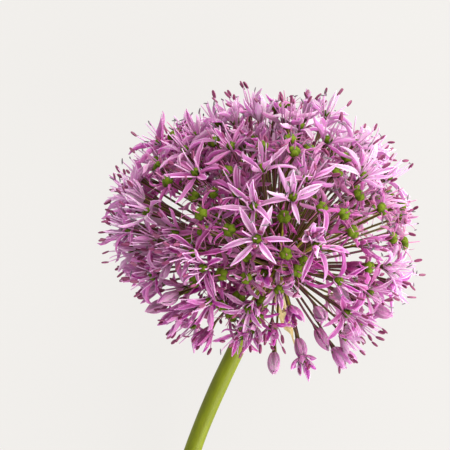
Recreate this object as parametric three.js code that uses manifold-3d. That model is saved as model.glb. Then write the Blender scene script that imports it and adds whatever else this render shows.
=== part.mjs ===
// A giant allium flower head, cut with a short scape and lying on its side on a flat surface.
// Millimetres, +Z up. The surface is z = 0, and the origin is the point on it straight below the
// receptacle, where one withered floret is pressed flat. +Y points from the scape towards the head.
//
// The scape is the bare green stalk. At its top the receptacle, a small knob, carries every pedicel,
// and each pedicel ends in a floret or a bud, so knob, pedicels, florets and buds are one umbel.
// Three papery bracts, what is left of the sheath that held the bud, hang where scape and knob meet.

import * as THREE from "three";
import { mergeVertices } from "three/addons/utils/BufferGeometryUtils.js";
import Module from "manifold-3d";

const wasm = await Module();
wasm.setup();

// Places of the main parts
const RECEPTACLE = new THREE.Vector3(0, 0, 46);
const HEAD_CENTRE = new THREE.Vector3(-4.5, 13.5, 48);
const HEAD_RADIUS = 48.6;

// Scape
const SCAPE_RADIUS = 3.2;
const SCAPE_SIDES = 12;
const SCAPE_STEPS = 14;
const SCAPE_BEND = new THREE.Vector2(-16.3, -34.2);
const SCAPE_STRAIGHTENS = new THREE.Vector2(-37, -72);
const SCAPE_END = new THREE.Vector2(-39.5, -108);
const END_CLEARANCE = 0.02;
const TOUCHING_GAP = 0.3;

// Receptacle, and the pedicels that leave it, whose neck ring starts at their fourth point
const KNOB_RADIUS = 4.6;
const KNOB_BASE_SHARE = 0.76;
const KNOB_HALF_HEIGHT = 4.2;
const KNOB_SIDES = 12;
const ROOT_DEPTH = 2.6;
const PEDICEL_RADIUS = 0.62;
const NECK_LENGTH = 2.2;
const NECK = 3;

// Florets
const FLORETS = 108;
const GOLDEN_ANGLE = Math.PI * (3 - Math.sqrt(5));
const ANGLE_SCATTER = 0.09;
const TURN_SCATTER = 0.16;
const OUTWARD_SHARE = 0.35;
const LOWEST_FLORET_ANGLE = 138;
const SCAPE_CLEAR_ANGLE = 36;
const HANGING_CLEAR_ANGLE = 26;
const SHORTEST_PEDICEL_SHARE = 0.84;
const LATE_FROM = 1.2;
const LATE_TO = 2.1;
const PRESS_DEPTH = 0.5;
const REST_CLEAR_RADIUS = 9;
const REST_CLEAR_HEIGHT = 20;
const PRESSED_FACING = -0.72;
const PRESSED_LEAN = 10;
const PRESSED_STAMEN_LEAN = 58;
const INNER_LEAN = 6;
const NOTCH_RADIUS = 1.5;
const ROOT_RADIUS = 1.3;
const TEPALS = 6;
const WIDEST_SHARE = 0.45;
const SHOULDER_SHARE = 0.62;

// The sizes of each kind of flower, with leans in degrees from the flower's own axis
const KINDS = {
  open: {
    tepalLength: 12.2, tepalWidth: 3.3, ridge: 0.85, lean: 62, tipLean: 82,
    ovaryRadius: 1.25, ovaryHeight: 3.2, stamenLength: 9.0, stamenLean: 15,
  },
  halfOpen: {
    tepalLength: 10.6, tepalWidth: 2.9, ridge: 0.8, lean: 31, tipLean: 34,
    ovaryRadius: 1.2, ovaryHeight: 3.0, stamenLength: 8.4, stamenLean: 8,
  },
  spent: {
    tepalLength: 7.4, tepalWidth: 1.9, ridge: 0.7, lean: 78, tipLean: 104,
    ovaryRadius: 1.5, ovaryHeight: 4.6, stamenLength: 5.6, stamenLean: 24,
  },
};

// A bud's length, and the radius and height of its two rings
const BUD_LENGTH = 8.4;
const BUD_RINGS = [[2.4, 3.2], [1.5, 6.6]];

// Papery bracts, each a blade whose section follows the scape and whose length arches away from it
const BRACT_AZIMUTHS = [22, 158, -90];
const BRACT_LENGTH = 25;
const BRACT_ROOT_WIDTH = 4.2;
const BRACT_SWELL = 6.6;
const BRACT_SWELL_START = 0.1;
const BRACT_SWELL_RATE = 1.1;
const BRACT_TIP_WIDTH = 1.2;
const BRACT_THICKNESS = 0.7;
const BRACT_SEAT = TOUCHING_GAP + BRACT_THICKNESS / 2 + 0.1;
const BRACT_ROOT_LEAN = 30;
const BRACT_TIP_LEAN = 58;
const BRACT_ROWS = 6;
const BRACT_COLUMNS = 4;
const BRACT_CURL = 0.055;
const BRACT_CURL_FADE = 0.6;
const BRACT_WAVE = 0.7;
const BRACT_WAVE_RATE = 1.5;
const BRACT_WAVE_TURN = 5;

const radians = THREE.MathUtils.degToRad;

/** A repeatable number from 0 to 1 for a floret's index and the number of the draw. */
function scatter(index, draw) {
  const wave = Math.sin(index * 12.9898 + draw * 78.233) * 43758.5453;
  return wave - Math.floor(wave);
}

/** Two unit vectors that make a right-handed set with the given direction. */
function acrossOf(direction) {
  const helper = Math.abs(direction.z) > 0.9 ? new THREE.Vector3(1, 0, 0) : new THREE.Vector3(0, 0, 1);
  const first = new THREE.Vector3().crossVectors(helper, direction).normalize();
  const second = new THREE.Vector3().crossVectors(direction, first);
  return [first, second];
}

/** An indexed geometry from a list of points and a list of triangles. */
function facetedGeometry(points, triangles) {
  const geometry = new THREE.BufferGeometry().setFromPoints(points);
  geometry.setIndex(triangles.flat());
  return geometry;
}

/** A closed geometry as a solid that can be joined and cut. */
function solidOf(geometry) {
  const plain = geometry.clone();
  plain.deleteAttribute("normal");
  plain.deleteAttribute("uv");
  const merged = mergeVertices(plain, 1e-4);
  return new wasm.Manifold(new wasm.Mesh({
    numProp: 3,
    vertProperties: merged.getAttribute("position").array,
    triVerts: new Uint32Array(merged.index.array),
  }));
}

/** A joined or cut solid as a geometry. */
function geometryOf(solid) {
  const mesh = solid.getMesh();
  const geometry = new THREE.BufferGeometry();
  geometry.setAttribute("position", new THREE.BufferAttribute(new Float32Array(mesh.vertProperties), 3));
  geometry.setIndex(new THREE.BufferAttribute(new Uint32Array(mesh.triVerts), 1));
  geometry.computeVertexNormals();
  return geometry;
}

/** The scape's route: from under the knob, bending in plan, falling evenly to the surface. */
function scapeRoute() {
  const plan = [new THREE.Vector2(0, 0), SCAPE_BEND, SCAPE_STRAIGHTENS, SCAPE_END];
  const runs = [0];
  for (let i = 1; i < plan.length; i += 1) runs.push(runs[i - 1] + plan[i].distanceTo(plan[i - 1]));
  const slope = Math.atan((RECEPTACLE.z - SCAPE_RADIUS) / runs[3]);
  const endHeight = SCAPE_RADIUS * Math.cos(slope) + END_CLEARANCE;
  const fall = (RECEPTACLE.z - endHeight) / runs[3];
  const stations = plan.map((point, i) => new THREE.Vector3(point.x, point.y, RECEPTACLE.z - fall * runs[i]));
  return new THREE.CubicBezierCurve3(...stations);
}

const fullRoute = scapeRoute();
const AXIS = fullRoute.getTangent(0).negate();
const [AXIS_RIGHT, AXIS_FRONT] = acrossOf(AXIS);

/** A direction from its angle off the umbel's axis and its turn about that axis. */
function headDirection(angle, turn) {
  return new THREE.Vector3()
    .addScaledVector(AXIS, Math.cos(angle))
    .addScaledVector(AXIS_RIGHT, Math.sin(angle) * Math.cos(turn))
    .addScaledVector(AXIS_FRONT, Math.sin(angle) * Math.sin(turn));
}

/** The stalk, a round bar along its route, which starts just under the knob. */
function scapeGeometry() {
  const start = KNOB_HALF_HEIGHT + TOUCHING_GAP;
  const top = RECEPTACLE.clone().addScaledVector(AXIS, -start);
  const bend = fullRoute.v1.clone().addScaledVector(AXIS, -start / 3);
  const route = new THREE.CubicBezierCurve3(top, bend, fullRoute.v2, fullRoute.v3);
  const corners = Array.from({ length: SCAPE_SIDES }, (_, i) => {
    const turn = (2 * Math.PI * i) / SCAPE_SIDES;
    return new THREE.Vector2(SCAPE_RADIUS * Math.cos(turn), SCAPE_RADIUS * Math.sin(turn));
  });
  return new THREE.ExtrudeGeometry(new THREE.Shape(corners), { steps: SCAPE_STEPS, extrudePath: route });
}

/** The receptacle: a flat-based knob turned about the umbel's axis. */
function knobGeometry() {
  const outline = [
    [0, -1], [KNOB_BASE_SHARE, -1], [1, -0.3], [0.9, 0.45], [0.5, 0.9], [0, 1],
  ];
  const profile = outline.map(([radius, height]) => (
    new THREE.Vector2(radius * KNOB_RADIUS, height * KNOB_HALF_HEIGHT)
  ));
  const upright = new THREE.Vector3(0, 1, 0);
  return new THREE.LatheGeometry(profile, KNOB_SIDES)
    .applyQuaternion(new THREE.Quaternion().setFromUnitVectors(upright, AXIS))
    .translate(RECEPTACLE.x, RECEPTACLE.y, RECEPTACLE.z);
}

/** Side faces of a three-sided pedicel from its root ring to its neck ring, and the root's end. */
function pedicelFaces(root, neck) {
  const faces = [[root + 2, root + 1, root]];
  for (let i = 0; i < 3; i += 1) {
    const next = (i + 1) % 3;
    faces.push([root + i, root + next, neck + next], [root + i, neck + next, neck + i]);
  }
  return faces;
}

/** Faces between the corners of a three-cornered neck and every other corner of a six-cornered ring. */
function shoulderFaces(neck, ring6) {
  return [0, 1, 2].map((i) => [neck + i, neck + ((i + 1) % 3), ring6 + 2 * i + 1]);
}

/** The corner of the neck under a side of the six-cornered ring. */
const neckCorner = (neck, side) => neck + (Math.floor((side + 1) / 2) % 3);

/** Gives points by their radius, turn and height about a flower's own axis. */
function pointsAbout(base, facing) {
  const [right, front] = acrossOf(facing);
  return (radius, turn, height) => base.clone()
    .addScaledVector(facing, height)
    .addScaledVector(right, radius * Math.cos(turn))
    .addScaledVector(front, radius * Math.sin(turn));
}

/** The pedicel's root and neck rings for a flower that sits at `base` and faces along `facing`. */
function pedicelPoints(base, facing, spin) {
  const root = RECEPTACLE.clone().addScaledVector(base.clone().sub(RECEPTACLE).normalize(), ROOT_DEPTH);
  const neck = base.clone().addScaledVector(facing, -NECK_LENGTH);
  return [root, neck].flatMap((centre) => [0, 1, 2].map((i) => (
    pointsAbout(centre, facing)(PEDICEL_RADIUS, spin + (2 * Math.PI * i) / 3, 0)
  )));
}

/** A tepal's corners past its root: left and right where it is widest, the keel below them, the tip. */
function tepalCorners(at, turn, size, lean, tipLean) {
  const near = size.tepalLength * WIDEST_SHARE;
  const far = size.tepalLength - near;
  const radius = ROOT_RADIUS + near * Math.sin(lean);
  const height = near * Math.cos(lean);
  const edgeRadius = Math.hypot(radius, size.tepalWidth / 2);
  const edgeTurn = Math.atan2(size.tepalWidth / 2, radius);
  return [
    at(edgeRadius, turn - edgeTurn, height),
    at(edgeRadius, turn + edgeTurn, height),
    at(radius + size.ridge * Math.cos(lean), turn, height - size.ridge * Math.sin(lean)),
    at(radius + far * Math.sin(tipLean), turn, height + far * Math.cos(tipLean)),
  ];
}

/** A floret on its pedicel: six keeled tepals, the ovary, and a stamen at the foot of every other tepal. */
function floretGeometry({ base, facing, spin, kind, pressed }) {
  const size = KINDS[kind];
  const at = pointsAbout(base, facing);
  const step = (2 * Math.PI) / TEPALS;
  const points = pedicelPoints(base, facing, spin);
  const notch = points.length;
  for (let i = 0; i < TEPALS; i += 1) points.push(at(NOTCH_RADIUS, spin + i * step, 0));
  const ovary = points.length;
  const shoulder = size.ovaryHeight * SHOULDER_SHARE;
  for (let i = 0; i < 3; i += 1) points.push(at(size.ovaryRadius, spin + (2 * i + 1) * step, shoulder));
  const apex = points.length;
  points.push(at(0, 0, size.ovaryHeight));
  const faces = [...pedicelFaces(0, NECK), ...shoulderFaces(NECK, notch)];
  for (let i = 0; i < TEPALS; i += 1) {
    const turn = spin + (i + 0.5) * step;
    const inner = i % 2;
    const lean = radians(size.lean + (pressed ? PRESSED_LEAN : 0) - INNER_LEAN * inner);
    const [left, right, keel, tip] = [0, 1, 2, 3].map((corner) => points.length + corner);
    points.push(...tepalCorners(at, turn, size, lean, radians(size.tipLean - INNER_LEAN * inner)));
    const here = notch + i;
    const next = notch + ((i + 1) % TEPALS);
    const under = neckCorner(NECK, i);
    faces.push([here, left, next], [left, right, next], [left, tip, right]);
    faces.push([keel, left, here], [keel, tip, left], [keel, right, tip], [keel, next, right]);
    faces.push([keel, here, under], [keel, under, next]);
    const lobe = ovary + Math.floor(i / 2);
    if (inner) {
      faces.push([here, next, lobe]);
      continue;
    }
    const stamenLean = radians(pressed ? PRESSED_STAMEN_LEAN : size.stamenLean);
    const reach = ROOT_RADIUS + size.stamenLength * Math.sin(stamenLean);
    const stamen = points.length;
    points.push(at(reach, turn, size.stamenLength * Math.cos(stamenLean)));
    faces.push([here, next, stamen], [next, lobe, stamen], [lobe, here, stamen]);
  }
  for (let i = 0; i < 3; i += 1) {
    const lobe = ovary + i;
    const nextLobe = ovary + ((i + 1) % 3);
    faces.push([notch + ((2 * i + 2) % TEPALS), nextLobe, lobe], [lobe, nextLobe, apex]);
  }
  return facetedGeometry(points, faces);
}

/** A closed bud on its pedicel: a six-sided spindle. */
function budGeometry({ base, facing, spin }) {
  const at = pointsAbout(base, facing);
  const points = pedicelPoints(base, facing, spin);
  const belly = points.length;
  for (const [radius, height] of BUD_RINGS) {
    for (let i = 0; i < 6; i += 1) points.push(at(radius, spin + (Math.PI * i) / 3, height));
  }
  const shoulder = belly + 6;
  const tip = points.length;
  points.push(at(0, 0, BUD_LENGTH));
  const faces = [...pedicelFaces(0, NECK), ...shoulderFaces(NECK, belly)];
  for (let i = 0; i < 6; i += 1) {
    const next = (i + 1) % 6;
    faces.push([neckCorner(NECK, i), belly + next, belly + i]);
    faces.push([belly + i, belly + next, shoulder + next], [belly + i, shoulder + next, shoulder + i]);
    faces.push([shoulder + i, shoulder + next, tip]);
  }
  return facetedGeometry(points, faces);
}

/** The flower at the end of one pedicel, as a geometry. */
function flowerGeometry(flower) {
  return flower.kind === "bud" ? budGeometry(flower) : floretGeometry(flower);
}

/** Moves a flower back along its pedicel until it dips no more than the press depth below the surface. */
function restOnSurface(flower) {
  const low = flowerGeometry(flower);
  low.computeBoundingBox();
  const dip = -PRESS_DEPTH - low.boundingBox.min.z;
  if (dip > 0) {
    const along = flower.base.clone().sub(RECEPTACLE);
    flower.base.addScaledVector(along, dip / along.z);
  }
  return flower;
}

/** The kind of flower for a draw from 0 to 1: the lowest ones open last, the topmost wither first. */
function kindOf(draw, angle) {
  const late = THREE.MathUtils.smoothstep(angle, LATE_FROM, LATE_TO);
  if (draw < 0.1 + 0.3 * late) return draw < 0.04 + 0.18 * late ? "bud" : "halfOpen";
  return draw > 0.8 + 0.12 * late ? "spent" : "open";
}

/** Every flower: an even spiral of directions round the head's middle, each then moved a little. */
function flowers() {
  const made = [];
  const clearOf = (point) => THREE.MathUtils.radToDeg(point.clone().sub(RECEPTACLE).angleTo(AXIS));
  const lowest = Math.cos(radians(LOWEST_FLORET_ANGLE));
  for (let i = 0; i < FLORETS; i += 1) {
    const height = 1 - ((i + 0.5) / FLORETS) * (1 - lowest);
    const angle = Math.acos(height) + (scatter(i, 1) - 0.5) * ANGLE_SCATTER;
    const turn = i * GOLDEN_ANGLE + (scatter(i, 2) - 0.5) * TURN_SCATTER;
    const share = 1 - (1 - SHORTEST_PEDICEL_SHARE) * scatter(i, 3) ** 2;
    const place = HEAD_CENTRE.clone().addScaledVector(headDirection(angle, turn), HEAD_RADIUS);
    const offScape = 180 - clearOf(place);
    if (offScape < HANGING_CLEAR_ANGLE) continue;
    const kind = offScape < SCAPE_CLEAR_ANGLE ? "bud" : kindOf(scatter(i, 4), angle);
    const base = RECEPTACLE.clone().lerp(place, share);
    const outward = place.clone().sub(HEAD_CENTRE).normalize();
    const facing = base.clone().sub(RECEPTACLE).normalize().lerp(outward, OUTWARD_SHARE).normalize();
    const pressed = facing.z < PRESSED_FACING;
    made.push(restOnSurface({ base, facing, spin: scatter(i, 5) * Math.PI, kind, pressed }));
  }
  return made;
}

/** The withered floret under the receptacle, which faces straight down and is pressed flat. */
function restingFloret() {
  const facing = new THREE.Vector3(0, 0, -1);
  const base = new THREE.Vector3(0, 0, KINDS.spent.ovaryHeight * SHOULDER_SHARE + 0.15);
  return { base, facing, spin: 0.4, kind: "spent", pressed: true };
}

/** True where a flower stands too near the resting floret. */
const crowdsRest = ({ base }) => Math.hypot(base.x, base.y) < REST_CLEAR_RADIUS && base.z < REST_CLEAR_HEIGHT;

/** True where a flower or its pedicel would run through a bract. */
const crossesBract = (flower) => bractRoom.intersect(solidOf(flowerGeometry(flower))).volume() > 0;

/** Knob, pedicels, florets and buds joined in one body, and cut level where they meet the surface. */
function umbelGeometry() {
  let umbel = solidOf(knobGeometry());
  const upper = flowers().filter((flower) => !crowdsRest(flower) && !crossesBract(flower));
  for (const flower of [restingFloret(), ...upper]) {
    umbel = umbel.add(solidOf(flowerGeometry(flower)));
  }
  const below = new THREE.BoxGeometry(400, 400, 40).translate(0, 0, -20);
  const bodies = umbel.subtract(solidOf(below)).decompose();
  return geometryOf(bodies.reduce((largest, body) => (body.volume() > largest.volume() ? body : largest)));
}

/** Where each cross-section of a bract lies: off the umbel's axis, down it, its lean and its width. */
function bractRows() {
  const rows = [];
  const step = BRACT_LENGTH / BRACT_ROWS;
  let radial = SCAPE_RADIUS + BRACT_SEAT;
  let depth = KNOB_HALF_HEIGHT + BRACT_SEAT;
  for (let i = 0; i <= BRACT_ROWS; i += 1) {
    const share = i / BRACT_ROWS;
    const lean = radians(THREE.MathUtils.lerp(BRACT_ROOT_LEAN, BRACT_TIP_LEAN, share));
    const swell = Math.sin(Math.PI * Math.min(1, BRACT_SWELL_START + BRACT_SWELL_RATE * share));
    const width = BRACT_ROOT_WIDTH * (1 - share) + BRACT_SWELL * swell + BRACT_TIP_WIDTH * share;
    rows.push({ share, radial, depth, lean, width });
    radial += step * Math.sin(lean);
    depth += step * Math.cos(lean);
  }
  return rows;
}

/** The corners round the rim of a grid of points, in order. */
function rimOf(rowCount, columnCount) {
  const across = columnCount + 1;
  const rim = [];
  for (let j = 0; j < columnCount; j += 1) rim.push(j);
  for (let i = 0; i < rowCount; i += 1) rim.push(i * across + columnCount);
  for (let j = columnCount; j > 0; j -= 1) rim.push(rowCount * across + j);
  for (let i = rowCount; i > 0; i -= 1) rim.push(i * across);
  return rim;
}

/** One papery bract: a pointed blade, curled about the scape and arched away from it. */
function bractGeometry(azimuth, thickness = BRACT_THICKNESS, spare = 0) {
  const outward = headDirection(Math.PI / 2, radians(azimuth));
  const down = AXIS.clone().negate();
  const sideways = new THREE.Vector3().crossVectors(outward, down);
  const points = [];
  for (const face of [-0.5, 0.5]) {
    for (const { share, radial, depth, lean, width } of bractRows()) {
      const normal = outward.clone().multiplyScalar(Math.cos(lean)).addScaledVector(down, -Math.sin(lean));
      for (let j = 0; j <= BRACT_COLUMNS; j += 1) {
        const off = (j / BRACT_COLUMNS - 0.5) * (width + 2 * spare);
        const curl = BRACT_CURL * off * off * (1 - BRACT_CURL_FADE * share);
        const wave = BRACT_WAVE * share * Math.sin(BRACT_WAVE_RATE * off + BRACT_WAVE_TURN * share);
        points.push(RECEPTACLE.clone()
          .addScaledVector(outward, radial)
          .addScaledVector(down, depth)
          .addScaledVector(sideways, off)
          .addScaledVector(normal, wave - curl + face * thickness));
      }
    }
  }
  const across = BRACT_COLUMNS + 1;
  const sheet = across * (BRACT_ROWS + 1);
  const faces = [];
  for (let i = 0; i < BRACT_ROWS; i += 1) {
    for (let j = 0; j < BRACT_COLUMNS; j += 1) {
      const a = i * across + j;
      const [b, c, d] = [a + 1, a + across, a + across + 1];
      faces.push([a, b, d], [a, d, c], [sheet + a, sheet + d, sheet + b], [sheet + a, sheet + c, sheet + d]);
    }
  }
  rimOf(BRACT_ROWS, BRACT_COLUMNS).forEach((a, i, rim) => {
    const b = rim[(i + 1) % rim.length];
    faces.push([a, sheet + a, b], [b, sheet + a, sheet + b]);
  });
  return facetedGeometry(points, faces);
}

/** The space that the bracts and the air round them take. */
const bractRoom = BRACT_AZIMUTHS
  .map((azimuth) => solidOf(bractGeometry(azimuth, BRACT_THICKNESS + 2 * TOUCHING_GAP, 2 * TOUCHING_GAP)))
  .reduce((joined, bract) => joined.add(bract));

const materials = {
  scape: new THREE.MeshStandardMaterial({ color: 0x7f9526, roughness: 0.55, metalness: 0 }),
  umbel: new THREE.MeshStandardMaterial({ color: 0xb57bc0, roughness: 0.6, metalness: 0 }),
  bract: new THREE.MeshStandardMaterial({ color: 0xc9bd94, roughness: 0.8, metalness: 0 }),
};

/** A named mesh. */
function piece(name, geometry, material) {
  const mesh = new THREE.Mesh(geometry, material);
  mesh.name = name;
  return mesh;
}

const allium = new THREE.Group();
allium.add(piece("scape", scapeGeometry(), materials.scape));
allium.add(piece("umbel", umbelGeometry(), materials.umbel));
BRACT_AZIMUTHS.forEach((azimuth, i) => {
  allium.add(piece(`spathe_bract_${i + 1}`, bractGeometry(azimuth), materials.bract));
});

export default allium;
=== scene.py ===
"""A giant allium flower head, cut with a short scape and lying on its side on a pale surface.

Everything is in metres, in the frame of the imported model: the surface is z = 0, +Y points from the cut
end of the scape towards the head, and the camera looks down. The scape, the knob at its top, three
papery bracts and every floret are modelled here. A tepal, a filament, an anther, an ovary and a
pedicel are each modelled once, and then bent and copied for each floret by a seeded rule.
"""

import logging
import math
from collections.abc import Callable, Iterator, Mapping, Sequence
from contextlib import contextmanager
from dataclasses import dataclass, field
from enum import Enum

import bmesh
import bpy
import numpy as np
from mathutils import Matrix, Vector


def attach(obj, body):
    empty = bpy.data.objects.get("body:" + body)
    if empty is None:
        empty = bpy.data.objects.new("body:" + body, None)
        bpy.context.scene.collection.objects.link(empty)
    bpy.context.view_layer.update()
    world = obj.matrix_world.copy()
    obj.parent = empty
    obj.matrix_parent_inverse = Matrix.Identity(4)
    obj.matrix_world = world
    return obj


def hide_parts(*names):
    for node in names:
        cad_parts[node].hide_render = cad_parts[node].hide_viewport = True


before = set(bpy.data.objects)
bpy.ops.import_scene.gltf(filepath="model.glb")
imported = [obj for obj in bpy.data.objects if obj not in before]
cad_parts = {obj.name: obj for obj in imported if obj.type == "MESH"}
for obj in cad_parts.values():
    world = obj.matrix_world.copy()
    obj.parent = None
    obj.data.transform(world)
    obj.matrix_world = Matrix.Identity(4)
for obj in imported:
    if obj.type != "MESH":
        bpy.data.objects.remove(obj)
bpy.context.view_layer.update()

LOG = logging.getLogger("allium")
MM = 0.001
SEED = 20
ORIGIN = (0.0, 0.0, 0.0)

# What the type hints call two numbers, three numbers or a colour, and what draws come from
Pair = tuple[float, float]
Triple = tuple[float, float, float]
Draw = np.random.Generator

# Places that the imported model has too
RECEPTACLE = np.array((0.0, 0.0, 46.0)) * MM
HEAD_CENTRE = np.array((-4.5, 13.5, 48.0)) * MM
SCAPE_PLAN = np.array(((0.0, 0.0), (-16.3, -34.2), (-37.0, -72.0), (-39.5, -108.0))) * MM
SCAPE_RADIUS = 3.2 * MM
KNOB_RADIUS = 4.6 * MM
KNOB_HALF_HEIGHT = 4.2 * MM
TOUCHING_GAP = 0.3 * MM

# How high the cut end's lower rim stands, and from how low down what would pass the surface is bent
CUT_LIFT = 0.02 * MM
EASE_REACH = 1.2 * MM

# How far from the head's centre the outer florets' ovaries stand, with factors on that across the head
# and along the way in which it is flatter, and how far that way leans to the left of the umbel's axis
HEAD_RADIUS = 47.6 * MM
HEAD_WIDE = 1.03
HEAD_TALL = 0.91
FLAT_LEAN = 0.24
# The same way sets the painted shade on the tepals towards the head's left.
LEFT = (-1.0, 0.0, 0.0)

# The photograph's frame, and how it lies over the head
FRAME_PIXELS = 450
METRES_A_PIXEL = 0.36 * MM
HEAD_PIXEL = (266.0, 228.0)
CAMERA_DISTANCE = 600 * MM
CAMERA_PLACE = HEAD_CENTRE + (
    (FRAME_PIXELS / 2 - HEAD_PIXEL[0]) * METRES_A_PIXEL,
    (HEAD_PIXEL[1] - FRAME_PIXELS / 2) * METRES_A_PIXEL,
    CAMERA_DISTANCE,
)


def unit(vector: np.ndarray) -> np.ndarray:
    """Gives the vector at length 1."""
    return vector / np.linalg.norm(vector)


def across_of(direction: np.ndarray) -> tuple[np.ndarray, np.ndarray]:
    """Gives two unit vectors that make a right-handed set with a direction.

    Args:
        direction: a unit vector.

    Returns:
        The first vector, square to the direction, and the second, square to both.
    """
    nearly_upright = abs(direction[2]) > 0.9
    first = unit(np.cross((1.0, 0.0, 0.0) if nearly_upright else (0.0, 0.0, 1.0), direction))
    return first, np.cross(direction, first)


def scape_route() -> np.ndarray:
    """Gives the four control points of the scape's route, which falls evenly to the surface.

    Returns:
        The points, a row for each, from the knob to the cut.
    """
    runs = np.concatenate(([0.0], np.cumsum(np.linalg.norm(np.diff(SCAPE_PLAN, axis=0), axis=1))))
    slope = math.atan((RECEPTACLE[2] - SCAPE_RADIUS) / runs[3])
    end_height = SCAPE_RADIUS * math.cos(slope) + CUT_LIFT
    heights = RECEPTACLE[2] - (RECEPTACLE[2] - end_height) * runs / runs[3]
    return np.column_stack((SCAPE_PLAN, heights))


ROUTE = scape_route()
AXIS = unit(ROUTE[0] - ROUTE[1])
AXIS_RIGHT, AXIS_FRONT = across_of(AXIS)
FLAT_WAY = unit(AXIS + FLAT_LEAN * np.array(LEFT))
STRETCH = HEAD_WIDE * np.eye(3) + (HEAD_TALL - HEAD_WIDE) * np.outer(FLAT_WAY, FLAT_WAY)


def head_direction(angle: float, turn: float) -> np.ndarray:
    """Gives a direction from its angle off the umbel's axis and its turn about that axis, in radians."""
    flat = math.cos(turn) * AXIS_RIGHT + math.sin(turn) * AXIS_FRONT
    return math.cos(angle) * AXIS + math.sin(angle) * flat


def eased_up(points: np.ndarray) -> np.ndarray:
    """Bends what would pass the surface so that it lies on it.

    Args:
        points: a row for each vertex.

    Returns:
        The points, of which none is below the surface and only the lowest have moved.
    """
    height = points[:, 2]
    bent = EASE_REACH * np.exp(np.minimum(height / EASE_REACH - 1.0, 0.0))
    return np.column_stack((points[:, 0], points[:, 1], np.where(height < EASE_REACH, bent, height)))


# Shaders


class Value:
    """An output socket that Python's operators work on, each by adding a Math node."""

    def __init__(self, graph: "Graph", socket: bpy.types.NodeSocket) -> None:
        """Keeps the graph that the socket is in, for the nodes to come."""
        self.graph = graph
        self.socket = socket

    def __add__(self, other: "Value | float") -> "Value":
        """Gives self + other."""
        return self.graph.maths("ADD", self, other)

    __radd__ = __add__

    def __mul__(self, other: "Value | float") -> "Value":
        """Gives self * other."""
        return self.graph.maths("MULTIPLY", self, other)

    __rmul__ = __mul__

    def __sub__(self, other: "Value | float") -> "Value":
        """Gives self - other."""
        return self.graph.maths("SUBTRACT", self, other)

    def __rsub__(self, other: "Value | float") -> "Value":
        """Gives other - self."""
        return self.graph.maths("SUBTRACT", other, self)

    def __abs__(self) -> "Value":
        """Gives the value without its sign."""
        return self.graph.maths("ABSOLUTE", self)

    def band(self, low: float, high: float) -> "Value":
        """Gives 0 up to low, 1 from high, and an even rise between them."""
        sockets = {"Value": self, "From Min": low, "From Max": high}
        return self.graph.node("ShaderNodeMapRange", {"clamp": True}, sockets)


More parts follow.
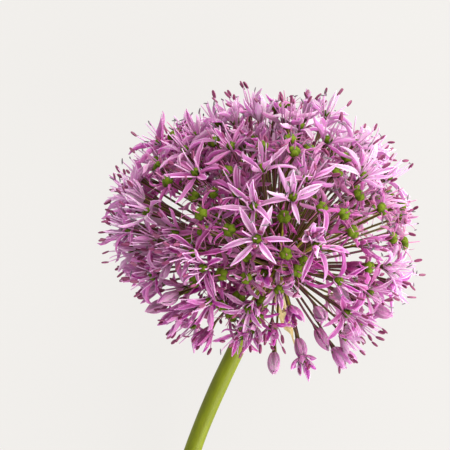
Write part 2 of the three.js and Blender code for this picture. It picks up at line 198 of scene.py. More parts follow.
class Graph:
    """The nodes of one material."""

    def __init__(self, name: str) -> None:
        """Starts an empty material of that name.

        Args:
            name: the material's name.
        """
        self.material = bpy.data.materials.new(name)
        self.material.use_nodes = True
        self.tree = self.material.node_tree
        self.tree.nodes.clear()

    def node(self, kind: str, settings: Mapping[str, object], sockets: Mapping[int | str, object],
             output: int | str = 0) -> Value:
        """Adds a node.

        Args:
            kind: the node's type.
            settings: its settings, with a ramp's stops under "stops".
            sockets: for each input, by name or number, its value or what feeds it.
            output: the output to give back, by name or number.

        Returns:
            That output.
        """
        made = self.tree.nodes.new(kind)
        for name, setting in settings.items():
            if name == "stops":
                self.set_stops(made.color_ramp, setting)
            else:
                setattr(made, name, setting)
        for key, value in sockets.items():
            if isinstance(value, Value):
                self.tree.links.new(value.socket, made.inputs[key])
            elif isinstance(value, tuple) and made.inputs[key].type == "RGBA":
                made.inputs[key].default_value = (*value, 1.0)
            else:
                made.inputs[key].default_value = value
        return Value(self, made.outputs[output])

    @staticmethod
    def set_stops(ramp: bpy.types.ColorRamp, stops: Sequence[tuple[float, Triple]]) -> None:
        """Gives a ramp its stops, each a place from 0 to 1 and a colour.

        Args:
            ramp: the ramp.
            stops: a place from 0 to 1 and a colour for each.
        """
        while len(ramp.elements) < len(stops):
            ramp.elements.new(1.0)
        for element, (place, colour) in zip(ramp.elements, stops):
            element.position = place
            element.color = (*colour, 1.0)

    def maths(self, operation: str, *values: Value | float) -> Value:
        """Gives what a Math node makes of some numbers."""
        return self.node("ShaderNodeMath", {"operation": operation}, dict(enumerate(values)))

    def ramp(self, factor: Value, *stops: tuple[float, Triple]) -> Value:
        """Gives the colour of a ramp at a factor."""
        return self.node("ShaderNodeValToRGB", {"stops": stops}, {"Fac": factor}, "Color")

    def mix(self, mask: Value, first: Value | Triple, second: Value | Triple, most: float = 1.0) -> Value:
        """Gives a mix of two colours.

        Args:
            mask: where the second colour shows, from 0 to 1.
            first: the first colour.
            second: the second colour.
            most: the second colour's share where the mask is 1.

        Returns:
            The mixed colour.
        """
        share = mask if most == 1.0 else mask * most
        return self.node("ShaderNodeMix", {"data_type": "RGBA"}, {0: share, 6: first, 7: second}, 2)

    def attribute(self, name: str) -> tuple[Value, Value, Value]:
        """Gives the three numbers of a piece's own vector attribute."""
        vector = self.node("ShaderNodeAttribute", {"attribute_name": name}, {}, "Vector")
        split = self.node("ShaderNodeSeparateXYZ", {}, {0: vector})
        return tuple(Value(self, socket) for socket in split.socket.node.outputs)

    def vector(self, x: Value | float, y: Value | float, z: Value | float) -> Value:
        """Gives a vector of three numbers."""
        return self.node("ShaderNodeCombineXYZ", {}, {0: x, 1: y, 2: z})

    def place(self) -> Value:
        """Gives the place on the object, in metres."""
        return self.node("ShaderNodeTexCoord", {}, {}, "Object")

    def measure(self, operation: str, other: Triple) -> Value:
        """Gives a Vector Math node's number for the place on the object and another vector."""
        sockets = {0: self.place(), 1: other}
        return self.node("ShaderNodeVectorMath", {"operation": operation}, sockets, "Value")

    def inside(self, deep: float, clear: float) -> Value:
        """Gives 1 up to the first distance from the head's centre, and 0 from the second: the mask of the
        painted shade inside the head.
        """
        return 1.0 - self.measure("DISTANCE", tuple(HEAD_CENTRE)).band(deep, clear)

    def noise(self, scale: float, detail: float = 3.0, rough: float = 0.5,
              at: Value | None = None) -> Value:
        """Gives soft noise from 0 to 1 over the object, or at another place."""
        sockets = {"Vector": at or self.place(), "Scale": scale, "Detail": detail, "Roughness": rough}
        return self.node("ShaderNodeTexNoise", {}, sockets)

    def bump(self, height: Value, strength: float, distance: float) -> Value:
        """Gives a normal that a height disturbs."""
        sockets = {"Height": height, "Strength": strength, "Distance": distance}
        return self.node("ShaderNodeBump", {}, sockets)

    def finish(self, sockets: Mapping[str, object]) -> bpy.types.Material:
        """Ends the graph in a Principled surface with those inputs, and gives the material.

        Args:
            sockets: the surface's inputs by name.

        Returns:
            The material.
        """
        surface = self.node("ShaderNodeBsdfPrincipled", {}, sockets)
        output = self.tree.nodes.new("ShaderNodeOutputMaterial")
        self.tree.links.new(surface.socket, output.inputs["Surface"])
        return self.material


# Finishes


@dataclass(frozen=True)
class TepalFinish:
    """A thin matt petal, deeper on its outer face, with fine veins and thin pale edges.

    The stripe is along its middle, with the flanks beside it. The deep colour is at its root, partly the
    tepal's own deeper base and partly painted shade in the floret's cup, and it is painted shade inside
    the head, in full up to the first shade radius and then less until the second. Towards the top of the
    head it is paler with painted light, and towards the left deeper with painted shade, between places in
    metres along those ways.
    """

    name: str = "tepal lilac"
    stripe: Triple = (0.48, 0.18, 0.42)
    flank: Triple = (0.56, 0.24, 0.49)
    blade: Triple = (0.61, 0.38, 0.58)
    edge: Triple = (0.70, 0.60, 0.69)
    outside: Triple = (0.52, 0.19, 0.44)
    # The deep colour is the tepal's deeper root, partly its own tone and partly painted shade, and the
    # painted shade inside the head.
    deep: Triple = (0.25, 0.004, 0.125)
    # The withered colour is the tone of old tepals, and also the painted shade towards the head's left.
    withered: Triple = (0.31, 0.022, 0.17)
    # Where the painted shade inside the head is full and where it ends, in metres, and its share.
    shade_full_radius: float = 43 * MM
    shade_clear_radius: float = 56 * MM
    inside_shade_share: float = 0.92
    # How much of the deep colour the root takes, partly the tepal's own tone and partly painted shade.
    root_tone_and_shade_share: float = 0.5
    root_tone_and_shade_spread: float = 0.4
    # The way towards the head's top and the reach along it of the painted light, then the reach of the
    # painted shade towards the left.
    painted_light_way: Triple = (0.45, 0.89, 0.0)
    painted_light_reach: Pair = (0.01, 0.05)
    painted_shade_reach: Pair = (0.0, 0.05)

    def material(self) -> bpy.types.Material:
        """Makes the material.

        Returns:
            The material.
        """
        graph = Graph(self.name)
        across, along, outer = graph.attribute("flow")
        floret, part, age = graph.attribute("tint")
        lengthways = graph.vector(across * 2.6, along * 0.3, part * 40.0)
        veins = graph.noise(at=lengthways, scale=2.4, detail=2.0, rough=0.6)
        blotch = graph.noise(160.0, detail=2.0)
        colour = graph.ramp(
            abs(across) + (veins - 0.5) * 0.24,
            (0.0, self.stripe), (0.14, self.flank), (0.38, self.blade), (0.66, self.blade),
            (0.92, self.edge),
        )
        colour = graph.mix(veins.band(0.5, 0.6), colour, self.flank, most=0.45)
        colour = graph.mix(along.band(0.8, 1.0), colour, self.edge, most=0.5)
        colour = graph.mix(outer, colour, self.outside, most=0.5)
        # Painted shade mixed with the tepal's own deeper base: darker at the root, where the tepals meet
        # in the floret's cup.
        root = 1.0 - along.band(0.0, 0.42)
        colour = graph.mix(root * (self.root_tone_and_shade_share + floret * self.root_tone_and_shade_spread), colour, self.deep)
        # Painted shade: darker deeper inside the head, among the florets.
        inside = graph.inside(self.shade_full_radius, self.shade_clear_radius)
        colour = graph.mix(inside, colour, self.deep, most=self.inside_shade_share)
        # Painted light: paler towards the top of the head, where the light falls.
        top = graph.measure("DOT_PRODUCT", self.painted_light_way).band(*self.painted_light_reach)
        colour = graph.mix(top, colour, self.edge, most=0.5)
        # Painted shade: deeper towards the head's left, away from the light.
        left = graph.measure("DOT_PRODUCT", LEFT).band(*self.painted_shade_reach)
        colour = graph.mix(left, colour, self.withered, most=0.4)
        colour = graph.mix((blotch - 0.42).band(0.0, 0.3), colour, self.flank, most=0.5)
        colour = graph.mix(floret.band(0.35, 1.0), colour, self.edge, most=0.42)
        colour = graph.mix(age, colour, self.withered, most=0.82)
        brightness = {0: colour, "Scale": 0.90 + part * 0.2}
        colour = graph.node("ShaderNodeVectorMath", {"operation": "SCALE"}, brightness)
        return graph.finish({
            "Base Color": colour, "Roughness": 0.42 + veins * 0.22,
            "Normal": graph.bump(veins, strength=0.8, distance=0.0002),
            "Subsurface Weight": 0.55, "Subsurface Radius": (1.0, 0.3, 0.9), "Subsurface Scale": 0.002,
            "Specular IOR Level": 0.1,
        })


# Buds take the same painted light and shade, with less of the painted shade inside the head.
BUD_FINISH = TepalFinish(
    "bud mauve", stripe=(0.30, 0.07, 0.22), flank=(0.42, 0.17, 0.33), blade=(0.53, 0.27, 0.44),
    edge=(0.70, 0.50, 0.63), outside=(0.45, 0.19, 0.37), deep=(0.27, 0.04, 0.17), inside_shade_share=0.2,
)


@dataclass(frozen=True)
class FilamentFinish:
    """A pale thread, deeper at its foot and towards its tip, with painted shade inside the head."""

    name: str = "filament pale lilac"
    foot: Triple = (0.62, 0.35, 0.57)
    thread: Triple = (0.68, 0.48, 0.66)
    tip: Triple = (0.60, 0.27, 0.53)
    dry: Triple = (0.50, 0.13, 0.26)
    # The deep colour is painted shade inside the head, full up to the first radius and ending at the
    # second.
    deep: Triple = (0.25, 0.03, 0.13)
    shade_full_radius: float = 40 * MM
    shade_clear_radius: float = 55 * MM

    def material(self) -> bpy.types.Material:
        """Makes the material.

        Returns:
            The material.
        """
        graph = Graph(self.name)
        _, along, _ = graph.attribute("flow")
        floret, part, age = graph.attribute("tint")
        grain = graph.noise(900.0, detail=2.0)
        colour = graph.ramp(
            along + (grain - 0.5) * 0.12,
            (0.0, self.foot), (0.22, self.thread), (0.7, self.thread), (1.0, self.tip),
        )
        colour = graph.mix(floret * part, colour, self.tip, most=0.5)
        colour = graph.mix(age, colour, self.dry, most=0.8)
        # Painted shade: darker deeper inside the head, among the florets.
        inside = graph.inside(self.shade_full_radius, self.shade_clear_radius)
        colour = graph.mix(inside, colour, self.deep, most=0.8)
        return graph.finish({
            "Base Color": colour, "Roughness": 0.4 + grain * 0.2,
            "Normal": graph.bump(grain, strength=0.2, distance=0.00005),
            "Subsurface Weight": 0.25, "Subsurface Radius": (0.8, 0.4, 0.8), "Subsurface Scale": 0.001,
        })


@dataclass(frozen=True)
class AntherFinish:
    """A pollen sac, dark magenta while it is full and grey once it is empty."""

    name: str = "anther magenta"
    full: Triple = (0.13, 0.010, 0.055)
    crown: Triple = (0.21, 0.026, 0.10)
    empty: Triple = (0.10, 0.08, 0.095)

    def material(self) -> bpy.types.Material:
        """Makes the material.

        Returns:
            The material.
        """
        graph = Graph(self.name)
        across, _, _ = graph.attribute("flow")
        floret, part, age = graph.attribute("tint")
        grain = graph.noise(1800.0)
        colour = graph.mix(abs(across).band(0.1, 0.9), self.full, self.crown)
        colour = graph.mix(age, colour, self.empty)
        colour = graph.mix(grain.band(0.5, 0.8) * floret, colour, self.crown, most=0.3)
        return graph.finish({
            "Base Color": colour, "Roughness": 0.5 + part * 0.2,
            "Normal": graph.bump(grain, strength=0.5, distance=0.00006),
        })


@dataclass(frozen=True)
class OvaryFinish:
    """A green pod with fine warts, light on its lobes and dark in its seams."""

    name: str = "ovary green"
    seam: Triple = (0.022, 0.035, 0.0015)
    lobe: Triple = (0.060, 0.093, 0.003)
    crown: Triple = (0.125, 0.175, 0.008)

    def material(self) -> bpy.types.Material:
        """Makes the material.

        Returns:
            The material.
        """
        graph = Graph(self.name)
        seam, height, _ = graph.attribute("flow")
        floret, _, age = graph.attribute("tint")
        cells = {"Vector": graph.place(), "Scale": 2600.0, "Smoothness": 0.6}
        warts = graph.node("ShaderNodeTexVoronoi", {"feature": "SMOOTH_F1"}, cells, "Distance")
        patch = graph.noise(420.0, detail=2.0)
        rise = seam * 0.7 + height * 0.4 + (patch - 0.5) * 0.35 - warts * 0.4 + floret * 0.1
        colour = graph.ramp(rise, (0.08, self.seam), (0.4, self.lobe), (0.9, self.crown))
        colour = graph.mix(age, colour, self.crown, most=0.25)
        return graph.finish({
            "Base Color": colour, "Roughness": 0.5 + warts * 0.3,
            "Normal": graph.bump(warts, strength=0.7, distance=0.00016), "Specular IOR Level": 0.1,
            "Subsurface Weight": 0.12, "Subsurface Radius": (0.5, 0.8, 0.2), "Subsurface Scale": 0.001,
        })


@dataclass(frozen=True)
class PedicelFinish:
    """A thin smooth stalk, olive green at its root and dark purplish brown near the floret."""

    name: str = "pedicel olive brown"
    root: Triple = (0.40, 0.37, 0.035)
    middle: Triple = (0.066, 0.043, 0.006)
    top: Triple = (0.042, 0.019, 0.008)
    neck: Triple = (0.22, 0.05, 0.12)

    def material(self) -> bpy.types.Material:
        """Makes the material.

        Returns:
            The material.
        """
        graph = Graph(self.name)
        _, along, _ = graph.attribute("flow")
        floret, _, _ = graph.attribute("tint")
        fibre = graph.noise(700.0)
        colour = graph.ramp(
            along + (fibre - 0.5) * 0.18 + (floret - 0.5) * 0.3,
            (0.24, self.root), (0.6, self.middle), (0.88, self.top), (0.98, self.neck),
        )
        return graph.finish({
            "Base Color": colour, "Roughness": 0.4 + fibre * 0.2, "Specular IOR Level": 0.2,
            "Normal": graph.bump(fibre, strength=0.25, distance=0.00008),
        })


@dataclass(frozen=True)
class KnobFinish:
    """The pale green swollen top of the scape, rough with the roots of the pedicels."""

    name: str = "receptacle green"
    green: Triple = (0.30, 0.36, 0.06)
    brown: Triple = (0.16, 0.11, 0.04)

    def material(self) -> bpy.types.Material:
        """Makes the material.

        Returns:
            The material.
        """
        graph = Graph(self.name)
        grain = graph.noise(520.0, detail=4.0)
        return graph.finish({
            "Base Color": graph.mix(grain.band(0.42, 0.62), self.green, self.brown),
            "Roughness": 0.5 + grain * 0.2,
            "Normal": graph.bump(grain, strength=0.6, distance=0.0003),
        })


@dataclass(frozen=True)
class ScapeFinish:
    """A fresh stalk with a waxy bloom, olive to yellow-green, and the pale wet face of its cut."""

    name: str = "scape fresh green"
    deep: Triple = (0.120, 0.122, 0.004)
    mid: Triple = (0.136, 0.163, 0.001)
    pale: Triple = (0.200, 0.233, 0.003)
    rim: Triple = (0.30, 0.40, 0.06)
    pith: Triple = (0.66, 0.70, 0.38)

    def material(self) -> bpy.types.Material:
        """Makes the material.

        Returns:
            The material.
        """
        graph = Graph(self.name)
        side, front, along = graph.attribute("flow")
        lengthways = graph.vector(side * 6.0, front * 6.0, along * 3.0)
        stripes = graph.noise(at=lengthways, scale=2.2, detail=4.0, rough=0.6)
        broad = graph.vector(side * 0.8, front * 0.8, along * 7.0)
        cloud = graph.noise(at=broad, scale=1.3, detail=2.0)
        colour = graph.ramp(
            stripes * 0.45 + cloud * 0.55, (0.3, self.deep), (0.5, self.mid), (0.75, self.pale),
        )
        bloom = graph.noise(90.0, detail=4.0)
        colour = graph.mix(bloom.band(0.5, 0.8), colour, self.pale, most=0.22)
        cut = along - 1.0
        dots = graph.noise(2400.0, detail=2.0)
        face = graph.mix(cut.band(0.25, 0.9), self.rim, self.pith)
        face = graph.mix(dots.band(0.52, 0.7), face, self.rim, most=0.5)
        colour = graph.mix(cut.band(0.0, 0.02), colour, face)
        return graph.finish({
            "Base Color": colour, "Roughness": 0.42 + stripes * 0.16, "Specular IOR Level": 0.2,
            "Normal": graph.bump(stripes, strength=0.3, distance=0.00012),
            "Subsurface Weight": 0.1, "Subsurface Radius": (0.6, 0.9, 0.2), "Subsurface Scale": 0.002,
            "Coat Weight": 0.03, "Coat Roughness": 0.4,
        })


@dataclass(frozen=True)
class SpatheFinish:
    """Dry papery sheath, cream to tan, with fine ribs and a few brown spots."""

    name: str = "spathe paper"
    cream: Triple = (0.72, 0.60, 0.36)
    tan: Triple = (0.45, 0.33, 0.14)
    spot: Triple = (0.12, 0.06, 0.02)

    def material(self) -> bpy.types.Material:
        """Makes the material.

        Returns:
            The material.
        """
        graph = Graph(self.name)
        across, along, _ = graph.attribute("flow")
        lengthways = graph.vector(across * 7.0, along * 0.8, 1.0)
        ribs = graph.noise(at=lengthways, scale=3.0, detail=4.0, rough=0.6)
        spots = graph.noise(330.0, detail=2.0)
        colour = graph.mix(ribs.band(0.38, 0.66), self.tan, self.cream)
        colour = graph.mix(spots.band(0.64, 0.7), colour, self.spot, most=0.85)
        colour = graph.mix(along.band(0.7, 1.0), colour, self.tan, most=0.5)
        return graph.finish({
            "Base Color": colour, "Roughness": 0.62 + ribs * 0.2,
            "Normal": graph.bump(ribs, strength=0.6, distance=0.0002),
            "Subsurface Weight": 0.35, "Subsurface Radius": (0.9, 0.7, 0.4), "Subsurface Scale": 0.0015,
        })


@dataclass(frozen=True)
class StageFinish:
    """A pale warm-white surface, lit a little from below as well."""

    name: str = "pale surface"
    white: Triple = (0.03, 0.02935, 0.02845)
    glow: float = 27.4

    def material(self) -> bpy.types.Material:
        """Makes the material.

        Returns:
            The material.
        """
        return Graph(self.name).finish({
            "Base Color": self.white, "Roughness": 0.9, "Specular IOR Level": 0.1,
            "Emission Color": self.white, "Emission Strength": self.glow,
        })


# Shapes that are modelled once and copied


def deselect() -> None:
    """Leaves nothing selected."""
    bpy.ops.object.select_all(action="DESELECT")


@contextmanager
def edit_mode() -> Iterator[None]:
    """Opens the active piece in edit mode, all selected, and closes it with its faces outwards."""
    bpy.ops.object.mode_set(mode="EDIT")
    bpy.ops.mesh.select_mode(type="VERT")
    bpy.ops.mesh.select_all(action="SELECT")
    yield
    bpy.ops.mesh.select_all(action="SELECT")
    bpy.ops.mesh.normals_make_consistent(inside=False)
    bpy.ops.object.mode_set(mode="OBJECT")


def pick(test: Callable[[Vector], bool]) -> None:
    """Selects the vertices of the active piece whose place passes a test, and no others.

    Args:
        test: tells whether a vertex at a place is wanted.
    """
    mesh = bpy.context.object.data
    corners = bmesh.from_edit_mesh(mesh)
    for corner in corners.verts:
        corner.select_set(False)
    for corner in corners.verts:
        if test(corner.co):
            corner.select_set(True)
    corners.select_flush_mode()
    bmesh.update_edit_mesh(mesh)


def push(x: float = 0.0, y: float = 0.0, z: float = 0.0) -> None:
    """Moves what is selected."""
    bpy.ops.transform.translate(value=(x, y, z))


def widen(x: float, y: float, z: float, about: Triple = ORIGIN) -> None:
    """Scales what is selected about a point."""
    bpy.ops.transform.resize(value=(x, y, z), center_override=about)


# In how many steps a bend is worked out
BEND_STEPS = 33


@dataclass
class Form:
    """A modelled shape as arrays, ready to be bent and copied.

    Attributes:
        points: a row for each vertex: across, along and off the shape's own middle, in metres.
        flow: a row for each vertex, for the finish: across from -1 to 1, along from 0 to 1, and a mask.
        faces: each face's vertex numbers.
    """

    points: np.ndarray
    flow: np.ndarray
    faces: list[tuple[int, ...]]

    @classmethod
    def take(cls, flow: Callable[[np.ndarray], np.ndarray]) -> "Form":
        """Turns the active object into a form and deletes the object.

        Args:
            flow: gives the flow of the object's points.

        Returns:
            The form.
        """
        made = bpy.context.object
        points = np.array([corner.co for corner in made.data.vertices])
        faces = [tuple(face.vertices) for face in made.data.polygons]
        bpy.data.objects.remove(made)
        return cls(points, flow(points), faces)

    def arched(self, lean: float, curl: float, hook: float = 0.0, twist: float = 0.0, sway: float = 0.0,
               size: Triple = (1.0, 1.0, 1.0)) -> np.ndarray:
        """Stands the form up and bends it away from the +Z axis.

        Args:
            lean: its lean off the axis at the root, in radians, towards +Y.
            curl: how much the lean grows to the tip.
            hook: how much it grows besides, close to the tip.
            twist: how far the tip is turned about the form's own length.
            sway: how far the tip stands to one side, as a share of the length.
            size: factors on its width, its length and the depth of its channel.

        Returns:
            The bent points, with the root at the origin.
        """
        side, along, off = (self.points * size).T
        length = along.max()
        turn = twist * along / length
        flat = side * np.cos(turn) - off * np.sin(turn) + sway * along * along / length
        lift = side * np.sin(turn) + off * np.cos(turn)
        steps = np.linspace(0.0, length, BEND_STEPS)
        angles = lean + curl * steps / length + hook * (steps / length) ** 5
        half = (steps[1] - steps[0]) / 2
        out = np.concatenate(([0.0], np.cumsum(np.sin(angles[1:]) + np.sin(angles[:-1])) * half))
        rise = np.concatenate(([0.0], np.cumsum(np.cos(angles[1:]) + np.cos(angles[:-1])) * half))
        angle = np.interp(along, steps, angles)
        return np.column_stack((
            flat,
            np.interp(along, steps, out) - lift * np.cos(angle),
            np.interp(along, steps, rise) + lift * np.sin(angle),
        ))

    def swept(self, route: np.ndarray, across: np.ndarray, places: Sequence[float], wide: Sequence[float],
              thick: Sequence[float] | None = None) -> np.ndarray:
        """Lays an upright form of unit length and radius along a curve.

        Args:
            route: the four control points of the curve.
            across: the direction of the form's width, which the curve never runs along.
            places: shares of its length.
            wide: half its width at each of them, in millimetres.
            thick: half its thickness there, or None where it is round.

        Returns:
            The points along the curve.
        """
        share = self.points[:, 2:3]
        left = 1.0 - share
        centre = (left ** 3 * route[0] + 3 * left ** 2 * share * route[1]
                  + 3 * left * share ** 2 * route[2] + share ** 3 * route[3])
        slope = (left ** 2 * (route[1] - route[0]) + 2 * left * share * (route[2] - route[1])
                 + share ** 2 * (route[3] - route[2]))
        slope /= np.linalg.norm(slope, axis=1, keepdims=True)
        right = across - slope * (slope @ across)[:, None]
        right /= np.linalg.norm(right, axis=1, keepdims=True)
        front = np.cross(slope, right)
        off_right = np.interp(share, places, wide) * MM * self.points[:, 0:1]
        off_front = np.interp(share, places, thick or wide) * MM * self.points[:, 1:2]
        return centre + off_right * right + off_front * front


Copy = tuple[str, Form, np.ndarray, Triple]


@dataclass
class Cluster:
    """Copies of modelled forms, gathered into the mesh of one piece.

    A copy is the name of its cluster, its form, where its points are and its tint.
    """

    points: list[np.ndarray] = field(default_factory=list)
    flows: list[np.ndarray] = field(default_factory=list)
    tints: list[np.ndarray] = field(default_factory=list)
    faces: list[tuple[int, ...]] = field(default_factory=list)
    count: int = 0

    def add(self, form: Form, points: np.ndarray, tint: Triple) -> None:
        """Adds a copy of a form.

        Args:
            form: the form.
            points: where its vertices are.
            tint: a number for its floret, a number for the copy, and its age, each from 0 to 1.
        """
        self.faces.extend(tuple(corner + self.count for corner in face) for face in form.faces)
        self.points.append(eased_up(points))
        self.flows.append(form.flow)
        self.tints.append(np.tile(tint, (len(points), 1)))
        self.count += len(points)

    def piece(self, name: str, material: bpy.types.Material, slot: str, node: str,
              crease: float = 50.0) -> bpy.types.Object:
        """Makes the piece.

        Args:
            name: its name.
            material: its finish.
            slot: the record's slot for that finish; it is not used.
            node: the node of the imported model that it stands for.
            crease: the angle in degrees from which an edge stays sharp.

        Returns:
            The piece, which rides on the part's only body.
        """
        mesh = bpy.data.meshes.new(name)
        mesh.from_pydata(np.concatenate(self.points).tolist(), [], self.faces)
        for kind, rows in (("flow", self.flows), ("tint", self.tints)):
            layer = mesh.attributes.new(kind, "FLOAT_VECTOR", "POINT")
            layer.data.foreach_set("vector", np.concatenate(rows).astype(np.float32).ravel())
        mesh.materials.append(material)
        made = bpy.data.objects.new(name, mesh)
        bpy.context.collection.objects.link(made)
        deselect()
        made.select_set(True)
        bpy.context.view_layer.objects.active = made
        bpy.ops.object.shade_smooth_by_angle(angle=math.radians(crease))
        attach(made, "root")
        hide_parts(node)
        return made


def rod(sides: int, lengths: int) -> None:
    """Models an upright closed rod of unit radius and length, in even lengths.

    Args:
        sides: how many sides it has.
        lengths: how many lengths.
    """
    deselect()
    bpy.ops.mesh.primitive_circle_add(vertices=sides, radius=1.0, fill_type="NGON")
    with edit_mode():
        for _ in range(lengths):
            bpy.ops.mesh.extrude_region_move(TRANSFORM_OT_translate={"value": (0.0, 0.0, 1.0 / lengths)})


def rod_form(sides: int, lengths: int) -> Form:
    """Gives a rod as a form whose flow is its place round the rod and along it."""
    rod(sides, lengths)
    return Form.take(np.copy)


class Blade(Enum):
    """How finely a tepal is modelled: its columns and rows of faces."""

    FINE = (4, 7)
    PLAIN = (2, 6)


@dataclass(frozen=True)
class Sheet:
    """A thin sheet laid flat, its root at the origin and its tip along +Y.

    Attributes:
        length: from its root to its tip, in metres.
        thickness: from face to face.
    """

    length: float
    thickness: float

    def width(self, along: np.ndarray | float) -> np.ndarray | float:
        """Gives its width at shares of its length."""
        raise NotImplementedError

    def in_row(self, corner: Vector, along: float) -> bool:
        """Tells whether a vertex is in the row at a share of the length."""
        return abs(corner.y / self.length - along) < 0.01

    def shape_row(self, along: float, columns: int) -> None:
        """Gives one row of vertices its width. A kind of sheet may bend its columns too."""
        pick(lambda corner: self.in_row(corner, along))
        widen(float(self.width(along)), 1.0, 1.0, (0.0, along * self.length, 0.0))

    def form(self, columns: int, rows: int) -> Form:
        """Models the sheet.

        Args:
            columns: how many faces lie across it.
            rows: how many lie along it.

        Returns:
            The sheet as a form.
        """
        deselect()
        bpy.ops.mesh.primitive_grid_add(x_subdivisions=columns, y_subdivisions=rows, size=1.0)
        with edit_mode():
            push(y=0.5)
            widen(1.0, self.length, 1.0)
            for row in range(rows + 1):
                self.shape_row(row / rows, columns)
        wall = bpy.context.object.modifiers.new("wall", "SOLIDIFY")
        wall.thickness = self.thickness
        wall.offset = 0.0
        bpy.ops.object.modifier_apply(modifier=wall.name)
        return Form.take(self.flow)

    def flow(self, points: np.ndarray) -> np.ndarray:
        """Gives each point's place across and along the sheet, and 1 on its lower face.

        Args:
            points: a row for each vertex.

        Returns:
            The flow, a row for each.
        """
        along = np.clip(points[:, 1] / self.length, 0.0, 1.0)
        across = np.clip(points[:, 0] / (self.width(along) / 2), -1.0, 1.0)
        faces = points.reshape(2, -1, 3)
        first_is_lower = faces[0, :, 2].mean() <= faces[1, :, 2].mean()
        lower = np.repeat((first_is_lower, not first_is_lower), len(points) // 2)
        return np.column_stack((across, along, lower))


@dataclass(frozen=True)
class TepalShape(Sheet):
    """A tepal: narrow, channelled, widest below its middle and ending in a point.

    Attributes:
        widest: its greatest width, in metres.
        channel: how far its edges stand above its middle there.
        shares: its width at even places along it, as shares of the widest.
        wave: how far its two edges rise and fall at even places, as shares of the channel.
    """

    length: float = 10.6 * MM
    thickness: float = 0.2 * MM
    widest: float = 2.3 * MM
    channel: float = 0.75 * MM
    shares: tuple[float, ...] = (0.42, 0.50, 0.64, 0.80, 0.93, 1.0, 0.98, 0.87, 0.68, 0.41, 0.09)
    wave: tuple[float, ...] = (0.0,)

    def width(self, along: np.ndarray | float) -> np.ndarray | float:
        """Gives its width at shares of its length."""
        return self.widest * np.interp(along, np.linspace(0.0, 1.0, len(self.shares)), self.shares)

    def shape_row(self, along: float, columns: int) -> None:
        """Narrows one row of vertices, sinks its middle and waves its edges.

        Args:
            along: the row's share of the length.
            columns: how many columns.
        """
        super().shape_row(along, columns)
        half = self.width(along) / 2
        depth = self.channel * float(self.width(along)) / self.widest
        ripple = float(np.interp(along, np.linspace(0.0, 1.0, len(self.wave)), self.wave))
        for column in range(columns + 1):
            side = 2 * column / columns - 1
            near = half / columns
            pick(lambda corner: self.in_row(corner, along) and abs(corner.x - side * half) < near)
            push(z=depth * (abs(side) ** 1.3 + ripple * side))


@dataclass(frozen=True)
class AntherShape:
    """An oblong anther of two sacs with a groove between them.

    Attributes:
        length: from end to end, in metres.
        width: across both sacs.
        depth: of a sac.
        groove: what is left of the depth in the groove.
    """

    length: float = 3.2 * MM
    width: float = 1.25 * MM
    depth: float = 1.0 * MM
    groove: float = 0.55

    def form(self) -> Form:
        """Models an anther, centred on the origin and lying along +Z.

        Returns:
            The anther as a form.
        """
        deselect()
        bpy.ops.mesh.primitive_uv_sphere_add(segments=8, ring_count=6, radius=0.5)
        with edit_mode():
            widen(self.width, self.depth, self.length)
            pick(lambda corner: abs(corner.x) < self.width * 0.1 and abs(corner.z) < self.length * 0.4)
            widen(1.0, self.groove, 1.0)
            pick(lambda corner: abs(corner.z) > self.length * 0.3)
            widen(1.2, 1.15, 1.0)
        return Form.take(lambda points: points / (self.width / 2, self.depth / 2, self.length / 2))


@dataclass(frozen=True)
class HuskShape:
    """An emptied anther: a thin dry spindle.

    Attributes:
        length: from end to end, in metres.
        width: across it.
        flat: its depth, as a share of that.
    """

    length: float = 2.4 * MM
    width: float = 0.62 * MM
    flat: float = 0.8

    def form(self) -> Form:
        """Models a husk, centred on the origin and lying along +Z.

        Returns:
            The husk as a form.
        """
        deselect()
        bpy.ops.mesh.primitive_uv_sphere_add(segments=6, ring_count=7, radius=0.5)
        with edit_mode():
            widen(self.width, self.width * self.flat, self.length)
        return Form.take(lambda points: points / (self.width / 2, self.width / 2, self.length / 2))


@dataclass(frozen=True)
class OvaryShape:
    """A pod of three lobes, of unit radius and height.

    Attributes:
        lobes: how many lobes it has.
        segments: how many sides, a whole number for each lobe.
        rings: how many rings of faces.
        seam: what is left of its radius in the deep seams between the lobes.
        furrow: the same in the shallow furrow down the middle of each.
        dimple: how far its top is sunk.
    """

    lobes: int = 3
    segments: int = 12
    rings: int = 7
    seam: float = 0.76
    furrow: float = 0.9
    dimple: float = 0.13

    def form(self) -> Form:
        """Models a pod that stands on the origin.

        Returns:
            The pod as a form.
        """
        deselect()
        bpy.ops.mesh.primitive_uv_sphere_add(segments=self.segments, ring_count=self.rings, radius=1.0)
        with edit_mode():
            push(z=1.0)
            widen(1.0, 1.0, 0.5)
            for steps, left in ((0, self.seam), (2, self.furrow)):
                pick(lambda corner: self.from_seam(corner.x, corner.y) == steps)
                widen(left, left, 1.0)
            pick(lambda corner: corner.z > 0.99)
            push(z=-self.dimple)
            pick(lambda corner: 0.9 < corner.z < 0.99)
            push(z=-0.02)
        return Form.take(self.flow)

    def from_seam(self, x: float, y: float) -> int:
        """Gives how many segments a place lies from the nearest seam, or -1 on the axis.

        Args:
            x: the place from the pod's axis.
            y: the same the other way.

        Returns:
            The number of segments.
        """
        if math.hypot(x, y) < 0.02:
            return -1
        per_lobe = self.segments // self.lobes
        step = round(math.atan2(y, x) / math.tau * self.segments) % per_lobe
        return min(step, per_lobe - step)

    def flow(self, points: np.ndarray) -> np.ndarray:
        """Gives how far each point is from a seam, and its height, both from 0 to 1.

        Args:
            points: a row for each vertex.

        Returns:
            The flow, a row for each.
        """
        turns = np.arctan2(points[:, 1], points[:, 0]) * self.lobes
        rise = np.clip(points[:, 2], 0.0, 1.0)
        swell = 0.65 * (1 - np.cos(turns)) / 2 + 0.35 * (1 - np.cos(2 * turns)) / 2
        return np.column_stack((swell, rise, np.zeros(len(points))))


# Florets


